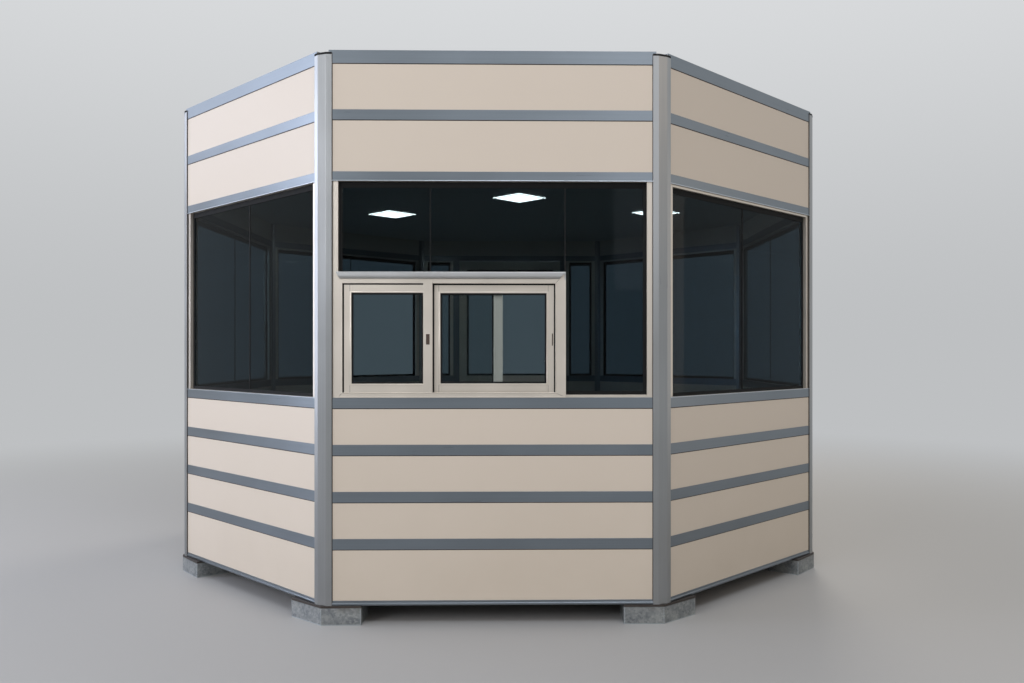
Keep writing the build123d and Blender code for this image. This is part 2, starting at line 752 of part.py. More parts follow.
def foot_outline(k):
    """The foot's plan: its square leg flush with the post's nose, square returns, a straight back."""
    turn = math.radians(FOOT_TURN)
    along, out = (math.cos(turn), math.sin(turn)), (math.sin(turn), -math.cos(turn))
    corner = (FOOT_PROUD * math.tan(turn / 2), -FOOT_PROUD)
    end = (corner[0] + along[0] * FOOT_SLANT_LEG, corner[1] + along[1] * FOOT_SLANT_LEG)
    back = (end[0] - out[0] * FOOT_DEPTH, end[1] - out[1] * FOOT_DEPTH)
    points = [corner, end, back, (-FOOT_SQUARE_LEG, FOOT_DEPTH - FOOT_PROUD), (-FOOT_SQUARE_LEG, -FOOT_PROUD)]
    if k % 2 == 0:
        return points
    return [(-x * COS - y * SIN, -x * SIN + y * COS) for x, y in reversed(points)]


def foot(k):
    """A closed box of folded steel, drawn solid, with rounded upright edges."""
    box = upright(foot_outline(k), 0.0, FOOT_HEIGHT - GAP)
    box = fillet(box.edges().filter_by(Axis.Z), FOOT_BEND)
    return at_corner(k, box)


# Floor, ceiling and roof


def plan_outline(inset):
    """The booth's eight corners, moved in from the panels' outside faces."""
    square = SQUARE_SIDE / 2 - inset * math.tan(HALF_TURN)
    reach = SQUARE_REACH - inset
    quarter = [(-square, -reach), (square, -reach)]
    points = []
    for turn in range(4):
        for x, y in quarter:
            for step in range(turn):
                x, y = -y, x
            points.append((x, y))
    return points


def channel(a0, a1, z0, z1):
    """Section of a steel channel with its back at a0 and its open side at a1."""
    t = BASE_WALL
    back = [(a0 + t, z0 + t), (a0 + t, z1 - t)]
    return [(a0, z0), (a1, z0), (a1, z0 + t)] + back + [(a1, z1 - t), (a1, z1), (a0, z1)]


def sector(k):
    """The slice of the plan that belongs to side k, from the middle to its two corners."""
    half, reach = side_length(k) / 2, side_reach(k)
    return upright([(0, reach - GAP), (-half + GAP, 0), (half - GAP, 0)], 0, TOP)


def base_frame():
    solids = []
    for k in range(SIDES):
        half = side_length(k) / 2
        section = channel(INSIDE, INSIDE + BASE_WIDTH, BODY, BODY + BASE_HEIGHT)
        bar = lying(section, -half, half) & sector(k)
        solids += on_side(k, [bar])
    count = int((SQUARE_REACH - INSIDE - BASE_WIDTH) // JOIST_PITCH)
    room = upright(plan_outline(INSIDE + BASE_WIDTH + GAP), 0, TOP)
    half = BASE_WIDTH / 2
    for i in range(-count, count + 1):
        x0, x1 = i * JOIST_PITCH - half, i * JOIST_PITCH + half
        face = flat([(x, -SQUARE_REACH, z) for x, z in channel(x0, x1, BODY, BODY + BASE_HEIGHT)])
        solids.append(extrude(face, amount=2 * SQUARE_REACH, dir=(0, 1, 0)) & room)
    return solids


def floor():
    z0 = BODY + BASE_HEIGHT + GAP
    return upright(plan_outline(INSIDE), z0, z0 + DECK)


def ceiling():
    plate = upright(plan_outline(INSIDE), CEILING_UNDERSIDE, CEILING_UNDERSIDE + CEILING)
    side = LIGHT_BODY + 2 * GAP
    for x, y in LIGHTS:
        spot = Pos(x, y, CEILING_UNDERSIDE + CEILING / 2) * Rot(0, 0, TURN)
        plate -= spot * Box(side, side, CEILING * 2)
    return plate


def ceiling_lights():
    """Square lights set cornerwise: a body through the ceiling and a trim under it."""
    solids = []
    for x, y in LIGHTS:
        spot = Pos(x, y, CEILING_UNDERSIDE - GAP) * Rot(0, 0, TURN)
        trim = Pos(0, 0, -LIGHT_TRIM / 2) * Box(LIGHT_SIDE, LIGHT_SIDE, LIGHT_TRIM)
        body = Pos(0, 0, LIGHT_BODY_HEIGHT / 2) * Box(LIGHT_BODY, LIGHT_BODY, LIGHT_BODY_HEIGHT)
        solids.append(spot * (trim + body))
    return solids


def angles(size, wall, top, upwards):
    """An angle along each wall whose flat leg carries a plate at the height top."""
    y0 = PANEL + GAP
    foot_z = top - GAP
    solids = []
    for k in range(SIDES):
        half = side_length(k) / 2 - RAIL_STOP - GAP
        if upwards:
            section = [(y0, foot_z - wall), (y0 + size, foot_z - wall), (y0 + size, foot_z)]
            section += [(y0 + wall, foot_z), (y0 + wall, foot_z - wall + size), (y0, foot_z - wall + size)]
        else:
            section = [(y0, foot_z - size), (y0 + wall, foot_z - size), (y0 + wall, foot_z - wall)]
            section += [(y0 + size, foot_z - wall), (y0 + size, foot_z), (y0, foot_z)]
        solids += on_side(k, [lying(section, -half, half)])
    return solids


def roof():
    return upright(plan_outline(INSIDE), ROOF_UNDERSIDE, ROOF_UNDERSIDE + ROOF)


def save(name, solids):
    solids = list(solids)
    shape = solids[0] if len(solids) == 1 else Compound(children=solids)
    export_step(shape, f"parts/{name}.step")


os.makedirs("parts", exist_ok=True)

frames, gaskets, joints = [], [], []
for k, name in enumerate(SIDE_NAMES):
    save(f"{name}_panels", on_side(k, wall_panels(k)))
    save(f"{name}_rails", on_side(k, wall_rails(k)))
    save(f"{name}_glass", on_side(k, wall_glass(k)))
    frames += on_side(k, window_frame(k))
    gaskets += on_side(k, wall_gaskets(k))
    joints += on_side(k, wall_joints(k))
save("window_frames", frames)
save("window_gaskets", gaskets)
save("glass_joints", joints)

save("serving_frame", on_side(0, serving_frame()))
places = sash_places()
save("serving_sash_left", on_side(0, left_sash()))
save("serving_sash_right", on_side(0, sash(*places["right"])))
save("serving_sash_inner", on_side(0, sash(*places["inner"])))
save("serving_glass", on_side(0, [sash_pane(*places[name]) for name in places]))

door = SIDE_NAMES.index(DOOR_SIDE)
save("door_frame", on_side(door, door_frame()))
save("door_leaf", on_side(door, door_leaf()))
save("door_panels", on_side(door, door_panels()))
save("door_glass", on_side(door, door_glass()))
save("door_handle", on_side(door, door_handle()))
save("door_hinges", on_side(door, door_hinges()))

save("corner_posts", [corner_post(k) for k in range(SIDES)])
save("post_caps", [post_cap(k) for k in range(SIDES)])
save("feet", [foot(k) for k in range(SIDES)])
save("base_frame", base_frame())
save("floor", [floor()])
save("ceiling", [ceiling()])
save("ceiling_trim", angles(CEILING_ANGLE, CEILING_ANGLE_WALL, CEILING_UNDERSIDE, True))
save("ceiling_lights", ceiling_lights())
save("roof", [roof()])
save("roof_ledge", angles(ROOF_ANGLE, ROOF_ANGLE_WALL, ROOF_UNDERSIDE, False))
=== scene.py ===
import json
import math

import bmesh
import bpy
from mathutils import Matrix, Vector


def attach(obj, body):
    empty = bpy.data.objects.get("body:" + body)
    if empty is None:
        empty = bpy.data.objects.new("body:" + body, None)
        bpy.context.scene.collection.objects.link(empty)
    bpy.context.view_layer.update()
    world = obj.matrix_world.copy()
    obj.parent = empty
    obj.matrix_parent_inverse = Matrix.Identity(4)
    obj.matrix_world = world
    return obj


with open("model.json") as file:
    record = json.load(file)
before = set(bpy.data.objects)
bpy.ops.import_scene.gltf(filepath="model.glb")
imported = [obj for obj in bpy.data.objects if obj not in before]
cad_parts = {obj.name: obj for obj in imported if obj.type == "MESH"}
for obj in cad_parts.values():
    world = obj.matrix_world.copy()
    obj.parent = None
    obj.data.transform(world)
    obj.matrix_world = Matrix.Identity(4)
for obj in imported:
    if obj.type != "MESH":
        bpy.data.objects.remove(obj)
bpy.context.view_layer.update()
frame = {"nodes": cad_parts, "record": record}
print("frame loaded:", len(frame["nodes"]), "nodes")

# Plan and heights of the booth in metres. Each wall is drawn on the front wall's line: x along it,
# y inwards from the panels' outside face, z up. wallPlace(side) turns it to a side, 0 being the front.
booth = {
    "squareSide": 1.543,
    "slantSide": 1.424,
    "sides": 8,
    "doorSide": 4,
    "bottom": 0.088,
    "postTop": 2.575,
    "windowBottom": 1.0235,
    "windowTop": 1.999,
    "postLip": 0.0475,        # from a wall's corner to the edge of the post that laps over it
    "railFace": -0.0023,
    "doorFrame": 0.480,       # half its outer width
    "floor": 0.1463,
    "ceiling": 2.170,
    "roofTop": 2.518,
    "insidePlan": 0.058,      # from the panels' outside face to the edge of floor, ceiling and roof
    "ribGap": 0.03,           # roof ribs and ceiling strips end this far short of that edge
}
# underside and top of each rail, the lowest first; the fifth is the sill and the sixth the header
railHeights = [(booth["bottom"], 0.110), (0.3395, 0.3875), (0.5515, 0.5995), (0.7635, 0.8115),
               (0.9755, booth["windowBottom"]), (booth["windowTop"], 2.042), (2.275, 2.321), (2.529, 2.588)]
cornerTurn = math.tau / booth["sides"]    # from one wall's direction to the next
sharpEdge = math.radians(35)              # faces that meet at less are shaded as one


def sideLength(side):
    return booth["squareSide"] if side % 2 == 0 else booth["slantSide"]


def wallReach(side):
    # from the booth's middle to a wall's outside face
    return sideLength(side) / 2 + sideLength(side + 1) * math.sin(cornerTurn)


def wallPlace(side):
    return Matrix.Rotation(cornerTurn * side, 4, "Z") @ Matrix.Translation((0, -wallReach(side), 0))


def wallSpans(side, z, shorter=booth["postLip"]):
    # a wall's run at one height, ending short of its corners, or its two runs beside the door
    half = sideLength(side) / 2 - shorter
    if side == booth["doorSide"] and z < booth["windowTop"]:
        return [(-half, -booth["doorFrame"]), (booth["doorFrame"], half)]
    return [(-half, half)]


camera = {
    "lens": 30.80,            # mm
    "sensor": 36,             # mm
    "place": (0.161, -5.735, 1.235),
    "turnRight": 0.94,        # degrees; it looks level
    "shift": (-0.0303, 0.0090),
    "farthest": 200,          # metres that it still shows
}


def setCamera():
    data = bpy.data.cameras.new("camera")
    data.lens = camera["lens"]
    data.sensor_width = camera["sensor"]
    data.shift_x, data.shift_y = camera["shift"]
    data.clip_end = camera["farthest"]
    view = bpy.data.objects.new("camera", data)
    view.location = camera["place"]
    view.rotation_euler = (math.radians(90), 0, -math.radians(camera["turnRight"]))
    bpy.context.scene.collection.objects.link(view)
    bpy.context.scene.camera = view


setCamera()
print("camera set")


def linear(hexColour):
    channels = [int(hexColour[i:i + 2], 16) / 255 for i in (1, 3, 5)]
    return [c / 12.92 if c <= 0.04045 else ((c + 0.055) / 1.055) ** 2.4 for c in channels] + [1.0]


def setSockets(tree, node, sockets):
    # an output is linked, a node stands for its first output, and any other value is set
    for socket, value in sockets.items():
        if isinstance(value, bpy.types.Node):
            value = value.outputs[0]
        if isinstance(value, bpy.types.NodeSocket):
            tree.links.new(value, node.inputs[socket])
        else:
            node.inputs[socket].default_value = value


def addNode(tree, kind, sockets=None, **settings):
    node = tree.nodes.new("ShaderNode" + kind)
    for name, value in settings.items():
        setattr(node, name, value)
    setSockets(tree, node, sockets or {})
    return node


def noise(tree, place, size, detail, roughness=0.5):
    # a cloudy pattern: the place is in metres, the size in millimetres, and 1000 / 3 is 3 to the metre
    return addNode(tree, "TexNoise", {"Vector": place, "Scale": 1000 / size, "Detail": detail,
                                      "Roughness": roughness})


def mixColours(tree, share, first, second):
    # from the first colour to the second as the share goes from 0 to 1
    ends = [linear(colour) if isinstance(colour, str) else colour for colour in (first, second)]
    return addNode(tree, "Mix", {0: share, 6: ends[0], 7: ends[1]}, data_type="RGBA").outputs[2]


def newMaterial(name, colour, roughness, **sockets):
    material = bpy.data.materials.new(name)
    material.use_nodes = True
    material.diffuse_color = linear(colour)
    tree = material.node_tree
    shader = tree.nodes["Principled BSDF"]
    setSockets(tree, shader, {"Base Color": linear(colour), "Roughness": roughness})
    setSockets(tree, shader, {socket.replace("_", " "): value for socket, value in sockets.items()})
    place = addNode(tree, "TexCoord").outputs["Object"]    # metres in the booth's own frame
    return material, tree, shader, place


# Cream sandwich panel: polyester paint coiled onto steel sheet. The eye gets an even satin with soft
# cloudy reflections, slow waves where the thin sheet follows its foam, and a colour that grows darker
# towards the bottom in cloudy patches.
creamPaint = {
    "paint": "#DCD0C1",
    # a darker tone of the paint, used towards the bottom
    "lowerTone": "#C6BAA8",
    "darkenFrom": 0.9,           # z where the colour begins to darken; it grows darker down to the next height
    "darkestAt": 0.1,
    "darkenShare": 0.8,
    "cloudMm": 1000 / 1.7,
    "roughness": 0.36,
    "gloss": 0.35,
    "waveMm": 340,
    "waveDepth": 0.0012,
    "peelMm": 6,              # real peel is 1 to 2 mm, too fine to show here
    "peelDepth": 0.00003,
    "edgeRound": 0.0008,
}


def creamCoilPaint():
    paint = creamPaint
    material, tree, shader, place = newMaterial("creamCoilPaint", paint["paint"], paint["roughness"],
                                                IOR=1.5, Specular_IOR_Level=paint["gloss"])
    cloud = noise(tree, place, paint["cloudMm"], detail=4.0, roughness=0.55)
    height = addNode(tree, "SeparateXYZ", {0: place}).outputs["Z"]
    low = addNode(tree, "MapRange", {"Value": height, "From Min": paint["darkenFrom"],
                                     "From Max": paint["darkestAt"], "To Max": paint["darkenShare"]})
    # the colour grows darker towards the bottom, in cloudy patches
    lowerDarkening = addNode(tree, "Math", {0: low, 1: cloud}, operation="MULTIPLY")
    colour = mixColours(tree, lowerDarkening, paint["paint"], paint["lowerTone"])
    rough = addNode(tree, "MapRange", {"Value": cloud, "To Min": paint["roughness"] - 0.05,
                                       "To Max": paint["roughness"] + 0.07})
    edge = addNode(tree, "Bevel", {"Radius": paint["edgeRound"]}, samples=4)
    wave = noise(tree, place, paint["waveMm"], detail=1.0)
    waved = addNode(tree, "Bump", {"Height": wave, "Distance": paint["waveDepth"], "Normal": edge})
    peel = noise(tree, place, paint["peelMm"], detail=2.0)
    peeled = addNode(tree, "Bump", {"Height": peel, "Distance": paint["peelDepth"], "Normal": waved})
    setSockets(tree, shader, {"Base Color": colour, "Roughness": rough, "Normal": peeled})
    return material


# Rails and posts: extruded aluminium, etched and clear anodised. The die leaves fine lines along
# each length, so highlights draw out across them, and the grey leans to blue.
anodised = {
    "rail": "#818990",
    "post": "#A1A3A4",
    # painted highlight: lighter metal on the half-round rail edges; the threshold's ribs take it too
    "trim": "#C4CBD2",
    "roughness": 0.30,
    "drawnOut": 0.4,
    "postDrawnOut": 0.15,     # the posts' facets stay apart in tone
    "lineMm": 5,              # real die lines are under 1 mm; drawn coarser to show
    "lineLong": 1000 / 1.5,   # mm along the length before a line changes
    "lineDepth": 0.00003,
    "blotchMm": 1000 / 3,
    "edgeRound": 0.0012,
}


def anodisedExtrusion(name, colour, upright=False):
    rough, drawnOut = anodised["roughness"], anodised["postDrawnOut" if upright else "drawnOut"]
    material, tree, shader, place = newMaterial(name, colour, rough, Metallic=1.0, Anisotropic=drawnOut,
                                                Anisotropic_Rotation=0.0 if upright else 0.25)
    around = addNode(tree, "Tangent", direction_type="RADIAL", axis="Z")
    across, along = 1000 / anodised["lineMm"], 1000 / anodised["lineLong"]
    scale = (across, across, along) if upright else (along, along, across)
    stretched = addNode(tree, "Mapping", {"Vector": place, "Scale": scale})
    lines = addNode(tree, "TexNoise", {"Vector": stretched, "Scale": 1.0, "Detail": 3.0, "Roughness": 0.7})
    blotch = noise(tree, place, anodised["blotchMm"], detail=3.0)
    both = addNode(tree, "Math", {0: lines, 1: blotch}, operation="ADD")
    spread = {"Value": both, "From Min": 0.6, "From Max": 1.4}
    tone = addNode(tree, "MapRange", {**spread, "To Min": 0.93, "To Max": 1.07})
    shade = addNode(tree, "VectorMath", {0: linear(colour)[:3], "Scale": tone}, operation="SCALE")
    uneven = addNode(tree, "MapRange", {**spread, "To Min": rough - 0.03, "To Max": rough + 0.05})
    edge = addNode(tree, "Bevel", {"Radius": anodised["edgeRound"]}, samples=4)
    grooves = addNode(tree, "Bump", {"Height": lines, "Distance": anodised["lineDepth"], "Normal": edge})
    setSockets(tree, shader, {"Base Color": shade, "Roughness": uneven, "Normal": grooves, "Tangent": around})
    return material


# Window and serving frames: extruded aluminium, champagne anodised, a warm satin metal. The rounded
# hood over the serving window is painted a darker grey, as painted shade on its rounded face.
champagne = {
    "metal": "#D8D0C4",
    # painted shade: the darker grey of the hood
    "hood": "#B8B9B9",
    "hoodAbove": 1.555,       # z
    "hoodBefore": -1.785,     # y
    "metallic": 0.7,          # less than bare metal, for the milky look of the sealed oxide
    "roughness": 0.36,
    "cloudMm": 200,
    "grainMm": 4,             # real etching grain is under 1 mm; drawn coarser to show
    "grainDepth": 0.00003,
    "edgeRound": 0.0012,
}


def champagneAnodised():
    rough = champagne["roughness"]
    material, tree, shader, place = newMaterial("champagneAnodised", champagne["metal"], rough,
                                                Metallic=champagne["metallic"])
    grain = noise(tree, place, champagne["grainMm"], detail=2.0)
    cloud = noise(tree, place, champagne["cloudMm"], detail=3.0)
    uneven = addNode(tree, "MapRange", {"Value": cloud, "To Min": rough - 0.08, "To Max": rough + 0.10})
    tone = addNode(tree, "MapRange", {"Value": cloud, "To Min": 0.9, "To Max": 1.06})
    plain, hoodShade = [addNode(tree, "VectorMath", {0: linear(champagne[part])[:3], "Scale": tone},
                             operation="SCALE") for part in ("metal", "hood")]
    split = addNode(tree, "SeparateXYZ", {0: place})
    above = addNode(tree, "Math", {0: split.outputs["Z"], 1: champagne["hoodAbove"]},
                    operation="GREATER_THAN")
    before = addNode(tree, "Math", {0: split.outputs["Y"], 1: champagne["hoodBefore"]},
                     operation="LESS_THAN")
    hoodShadeMask = addNode(tree, "Math", {0: above, 1: before}, operation="MULTIPLY")
    # painted shade: the hood takes the darker grey
    colour = mixColours(tree, hoodShadeMask, plain, hoodShade)
    edge = addNode(tree, "Bevel", {"Radius": champagne["edgeRound"]}, samples=4)
    fine = addNode(tree, "Bump", {"Height": grain, "Distance": champagne["grainDepth"], "Normal": edge})
    setSockets(tree, shader, {"Base Color": colour, "Roughness": uneven, "Normal": fine})
    return material


# Float glass, fire polished: calm, slightly waved reflections. The windows' is tinted blue-grey through
# its body and looks nearly black; the serving sashes' is much lighter. Each kind has the colour that one
# pane lets through and the colour that one of its faces lets through of a lamp's light.
floatGlass = {
    "tinted": ("#68777F", "#93A2AB"),
    "light": ("#C6CED0", "#F0F2F3"),
    "index": 1.13,            # glass has 1.52; less, so that the pale room leaves the dark panes dark
    "mirror": 0.25,
    "waveMm": 400,
    "waveDepth": 0.00004,
}


def floatedGlass(name, kind):
    through, lamps = floatGlass[kind]
    material, tree, shader, place = newMaterial(name, through, 0.0, IOR=floatGlass["index"],
                                                Transmission_Weight=1.0,
                                                Specular_IOR_Level=floatGlass["mirror"])
    wave = noise(tree, place, floatGlass["waveMm"], detail=0.0)
    bent = addNode(tree, "Bump", {"Height": wave, "Distance": floatGlass["waveDepth"]})
    setSockets(tree, shader, {"Normal": bent})
    rays = addNode(tree, "LightPath")
    clear = addNode(tree, "BsdfTransparent", {"Color": linear(lamps)})
    mix = addNode(tree, "MixShader", {0: rays.outputs["Is Shadow Ray"], 1: shader, 2: clear})
    setSockets(tree, tree.nodes["Material Output"], {"Surface": mix})
    return material


# EPDM glazing rubber, extruded: matt black with a greyish bloom.
rubber = {"black": "#0B0C0D", "fresh": "#070808", "bloomed": "#151617", "bloomMm": 1000 / 60, "gloss": 0.25}


def blackGlazingRubber():
    material, tree, shader, place = newMaterial("blackGlazingRubber", rubber["black"], 0.75,
                                                Specular_IOR_Level=rubber["gloss"])
    bloom = noise(tree, place, rubber["bloomMm"], detail=3.0)
    setSockets(tree, shader, {"Base Color": mixColours(tree, bloom, rubber["fresh"], rubber["bloomed"])})
    return material


# Hot-dip galvanised steel: zinc crystals of mixed tone, a cloudy bloom and, on the feet, a painted
# highlight along the folded edges, rust under the top edge that is also painted shade under the booth,
# and rust in patches below it.
zinc = {
    "light": "#A5A8A6",
    "dark": "#70757A",
    "spangleMm": 9,
    "spangleShare": 0.35,
    "cloudMm": 62.5,
    "roughness": 0.45,
    "metallic": 0.75,         # less than bare metal, for the dull bloom
    "skinDepth": 0.0002,
    "edgeRound": 0.002,
    "foldHighlight": "#B4BBBE",        # painted highlight along a folded edge, lighter than the zinc
    "foldWidth": 0.008,
    "foldFrom": 0.9985,       # cosine of the edge's rounding where the painted highlight begins
    "foldTo": 0.985,
    "foldShare": 0.8,
    "rust": "#3B3029",
    "rimFrom": 0.0745,        # z where the rust rim begins, dark also as painted shade under the booth; it is full at rimTo
    "rimTo": 0.0790,
    "rimShare": 0.9,
    "runsFrom": 0.045,        # the same for the patches
    "runsTo": 0.086,
    "runsShare": 0.7,
}


def galvanisedSteel():
    material, tree, shader, place = newMaterial("galvanisedSteel", zinc["light"], zinc["roughness"],
                                                Metallic=zinc["metallic"])
    spangle = addNode(tree, "TexVoronoi", {"Vector": place, "Scale": 1000 / zinc["spangleMm"]})
    crystal = addNode(tree, "SeparateColor", {0: spangle.outputs["Color"]})
    cloud = noise(tree, place, zinc["cloudMm"], detail=5.0, roughness=0.6)
    fleck = addNode(tree, "Math", {0: crystal, 1: zinc["spangleShare"]}, operation="MULTIPLY")
    blend = addNode(tree, "Math", {0: fleck, 1: cloud}, operation="ADD")
    tone = addNode(tree, "MapRange", {"Value": blend, "From Min": 0.36, "From Max": 0.94})
    metal = mixColours(tree, tone, zinc["dark"], zinc["light"])
    # painted highlight along the folded edges, then rust with painted shade in its rim
    foldHighlit, rust = paintFoldHighlights(tree, metal), footRustAndShade(tree, place, cloud)
    # rust colour; in the rim under the booth it is also painted shade
    colour = mixColours(tree, rust, foldHighlit, zinc["rust"])
    uneven = addNode(tree, "MapRange", {"Value": blend, "To Min": zinc["roughness"] - 0.1,
                                        "To Max": zinc["roughness"] + 0.2})
    edge = addNode(tree, "Bevel", {"Radius": zinc["edgeRound"]}, samples=4)
    skin = addNode(tree, "Bump", {"Height": blend, "Distance": zinc["skinDepth"], "Normal": edge})
    setSockets(tree, shader, {"Base Color": colour, "Roughness": uneven, "Normal": skin})
    return material


def paintFoldHighlights(tree, metal):
    # the zinc's colour, with a painted highlight where a rounded edge turns away from its flat face
    rounded = addNode(tree, "Bevel", {"Radius": zinc["foldWidth"]}, samples=8)
    flat = addNode(tree, "NewGeometry")
    facing = addNode(tree, "VectorMath", {0: rounded, 1: flat.outputs["Normal"]}, operation="DOT_PRODUCT")
    foldHighlight = addNode(tree, "MapRange", {"Value": facing.outputs["Value"], "From Min": zinc["foldFrom"],
                                      "From Max": zinc["foldTo"], "To Max": zinc["foldShare"]})
    return mixColours(tree, foldHighlight, metal, zinc["foldHighlight"])


def footRustAndShade(tree, place, cloud):
    # how much rust there is: a rim and patches on the feet, none higher up; the rim is also painted shade
    # under the booth
    height = addNode(tree, "SeparateXYZ", {0: place}).outputs["Z"]
    rim, runs = [addNode(tree, "MapRange", {"Value": height, "From Min": zinc[part + "From"],
                                            "From Max": zinc[part + "To"], "To Max": zinc[part + "Share"]})
                 for part in ("rim", "runs")]
    patches = addNode(tree, "MapRange", {"Value": cloud, "From Min": 0.52, "From Max": 0.7})
    patchy = addNode(tree, "Math", {0: runs, 1: patches}, operation="MULTIPLY")
    rustAndShade = addNode(tree, "Math", {0: rim, 1: patchy}, operation="MAXIMUM")
    onFoot = addNode(tree, "Math", {0: height, 1: booth["bottom"] + 0.001}, operation="LESS_THAN")
    return addNode(tree, "Math", {0: rustAndShade, 1: onFoot}, operation="MULTIPLY")


# Mill steel under brushed-on grey primer: dull brownish grey, with rust coming through.
primer = {"grey": "#5B524C", "rust": "#5A3622", "rustMm": 1000 / 22, "rustDepth": 0.0004}


def primedSteel():
    material, tree, shader, place = newMaterial("primedSteel", primer["grey"], 0.7)
    rust = noise(tree, place, primer["rustMm"], detail=6.0, roughness=0.65)
    mask = addNode(tree, "MapRange", {"Value": rust, "From Min": 0.5, "From Max": 0.62})
    colour = mixColours(tree, mask, primer["grey"], primer["rust"])
    skin = addNode(tree, "Bump", {"Height": rust, "Distance": primer["rustDepth"]})
    setSockets(tree, shader, {"Base Color": colour, "Normal": skin})
    return material


# Sheet vinyl on the floor board: printed chips in grey, with a shallow emboss.
vinyl = {"grey": "#86837C", "darkChip": "#6F6C66", "paleChip": "#9A968E", "chipMm": 9, "embossDepth": 0.0003}


def chippedVinyl():
    material, tree, shader, place = newMaterial("chippedVinyl", vinyl["grey"], 0.5)
    chips = addNode(tree, "TexVoronoi", {"Vector": place, "Scale": 1000 / vinyl["chipMm"]})
    pick = addNode(tree, "SeparateColor", {0: chips.outputs["Color"]})
    colour = mixColours(tree, pick, vinyl["darkChip"], vinyl["paleChip"])
    emboss = addNode(tree, "Bump", {"Height": chips.outputs["Distance"], "Distance": vinyl["embossDepth"]})
    setSockets(tree, shader, {"Base Color": colour, "Normal": emboss})
    return material


# Coil-coated steel sheet of the ceiling: an even off-white satin with slow waves.
ceilingSheet = {"white": "#D9D9D4", "waveMm": 1000 / 3, "waveDepth": 0.001}


def whiteCeilingCoat():
    material, tree, shader, place = newMaterial("whiteCeilingCoat", ceilingSheet["white"], 0.5)
    wave = noise(tree, place, ceilingSheet["waveMm"], detail=3.0)
    tone = addNode(tree, "MapRange", {"Value": wave, "To Min": 0.92, "To Max": 1.02})
    shade = addNode(tree, "VectorMath", {0: linear(ceilingSheet["white"])[:3], "Scale": tone},
                    operation="SCALE")
    slow = addNode(tree, "Bump", {"Height": wave, "Distance": ceilingSheet["waveDepth"]})
    setSockets(tree, shader, {"Base Color": shade, "Normal": slow})
    return material


# Opal acrylic diffuser, extruded sheet over light strips: evenly white when it is on.
lights = {
    "glow": 12.0,
    "uneven": 0.05,           # share of the glow
    "cloudMm": 1000 / 14,
    "colour": "#FFF7EE",
    "sheet": "#F2F2EE",
    "glowBelow": booth["ceiling"] + 0.0005,    # only the part that shows in the room glows
}


def opalDiffuser():
    material, tree, shader, place = newMaterial("opalDiffuser", lights["sheet"], 0.35,
                                                Emission_Color=linear(lights["colour"]))
    height = addNode(tree, "SeparateXYZ", {0: place}).outputs["Z"]
    faint = noise(tree, place, lights["cloudMm"], detail=1.0)
    glow = addNode(tree, "MapRange", {"Value": faint, "To Min": lights["glow"] * (1 - lights["uneven"]),
                                      "To Max": lights["glow"] * (1 + lights["uneven"])})
    below = addNode(tree, "Math", {0: height, 1: lights["glowBelow"]}, operation="LESS_THAN")
    lit = addNode(tree, "Math", {0: glow, 1: below}, operation="MULTIPLY")
    setSockets(tree, shader, {"Emission Strength": lit})
    return material


# Door handle and hinges: stainless steel brushed along its length, a soft streaked shine.
brushed = {
    "steel": "#A8A7A4",
    "smoothest": 0.22,
    "roughest": 0.42,
    "linesPerMm": 0.9,        # real brushing has ten or more; drawn coarser to show
    "lineLong": 40,           # mm
    "lineDepth": 0.00002,
    "edgeRound": 0.0012,
}


def brushedStainless():
    material, tree, shader, place = newMaterial("brushedStainless", brushed["steel"], 0.3, Metallic=1.0)
    across, along = 1000 * brushed["linesPerMm"], 1000 / brushed["lineLong"]
    stretched = addNode(tree, "Mapping", {"Vector": place, "Scale": (across, across, along)})
    brush = addNode(tree, "TexNoise", {"Vector": stretched, "Scale": 1.0, "Detail": 3.0})
    uneven = addNode(tree, "MapRange", {"Value": brush, "To Min": brushed["smoothest"],
                                        "To Max": brushed["roughest"]})
    edge = addNode(tree, "Bevel", {"Radius": brushed["edgeRound"]}, samples=4)
    lines = addNode(tree, "Bump", {"Height": brush, "Distance": brushed["lineDepth"], "Normal": edge})
    setSockets(tree, shader, {"Roughness": uneven, "Normal": lines})
    return material


# Polyurethane sealant, dark brown, tooled by hand into a hollow bead: a thin dark line under each rail
# and along each post, its dark brown also painted shadow where the rails and posts lap over the panels.
# A profile's points are a share of the bead's width and y.
sealantAndShadowLine = {
    # painted shadow: dark brown for the shadow lines under the rails and beside the posts
    "colour": "#241C17",
    "paler": "#38302A",
    "rippleMm": 12,
    "rippleDepth": 0.0003,
    "width": 0.0035,
    "profile": ((0.0, 0.0004), (0.0, -0.0019), (0.5, -0.0008), (1.0, -0.0002), (1.0, 0.0004)),
    "postWidth": 0.003,
    "postProfile": ((0.0, 0.0004), (0.0, -0.0042), (0.45, -0.0031), (1.0, -0.0024), (1.0, 0.0004)),
}


def tooledSealantAsShadow():
    material, tree, shader, place = newMaterial("tooledSealantAsShadow", sealantAndShadowLine["colour"], 0.55)
    ripple = noise(tree, place, sealantAndShadowLine["rippleMm"], detail=3.0)
    colour = mixColours(tree, ripple, sealantAndShadowLine["colour"], sealantAndShadowLine["paler"])
    tooled = addNode(tree, "Bump", {"Height": ripple, "Distance": sealantAndShadowLine["rippleDepth"]})
    setSockets(tree, shader, {"Base Color": colour, "Normal": tooled})
    return material


slotFinish = {
    "cream_panel": creamCoilPaint(),
    "rail_aluminium": anodisedExtrusion("anodisedRail", anodised["rail"]),
    "post_aluminium": anodisedExtrusion("anodisedPost", anodised["post"], upright=True),
    "frame_aluminium": champagneAnodised(),
    "tinted_glass": floatedGlass("tintedFloatGlass", "tinted"),
    "black_rubber": blackGlazingRubber(),
    "galvanised_steel": galvanisedSteel(),
    "base_steel": primedSteel(),
    "floor_board": chippedVinyl(),
    "ceiling_panel": whiteCeilingCoat(),
    "light_panel": opalDiffuser(),
    "handle_steel": brushedStainless(),
}
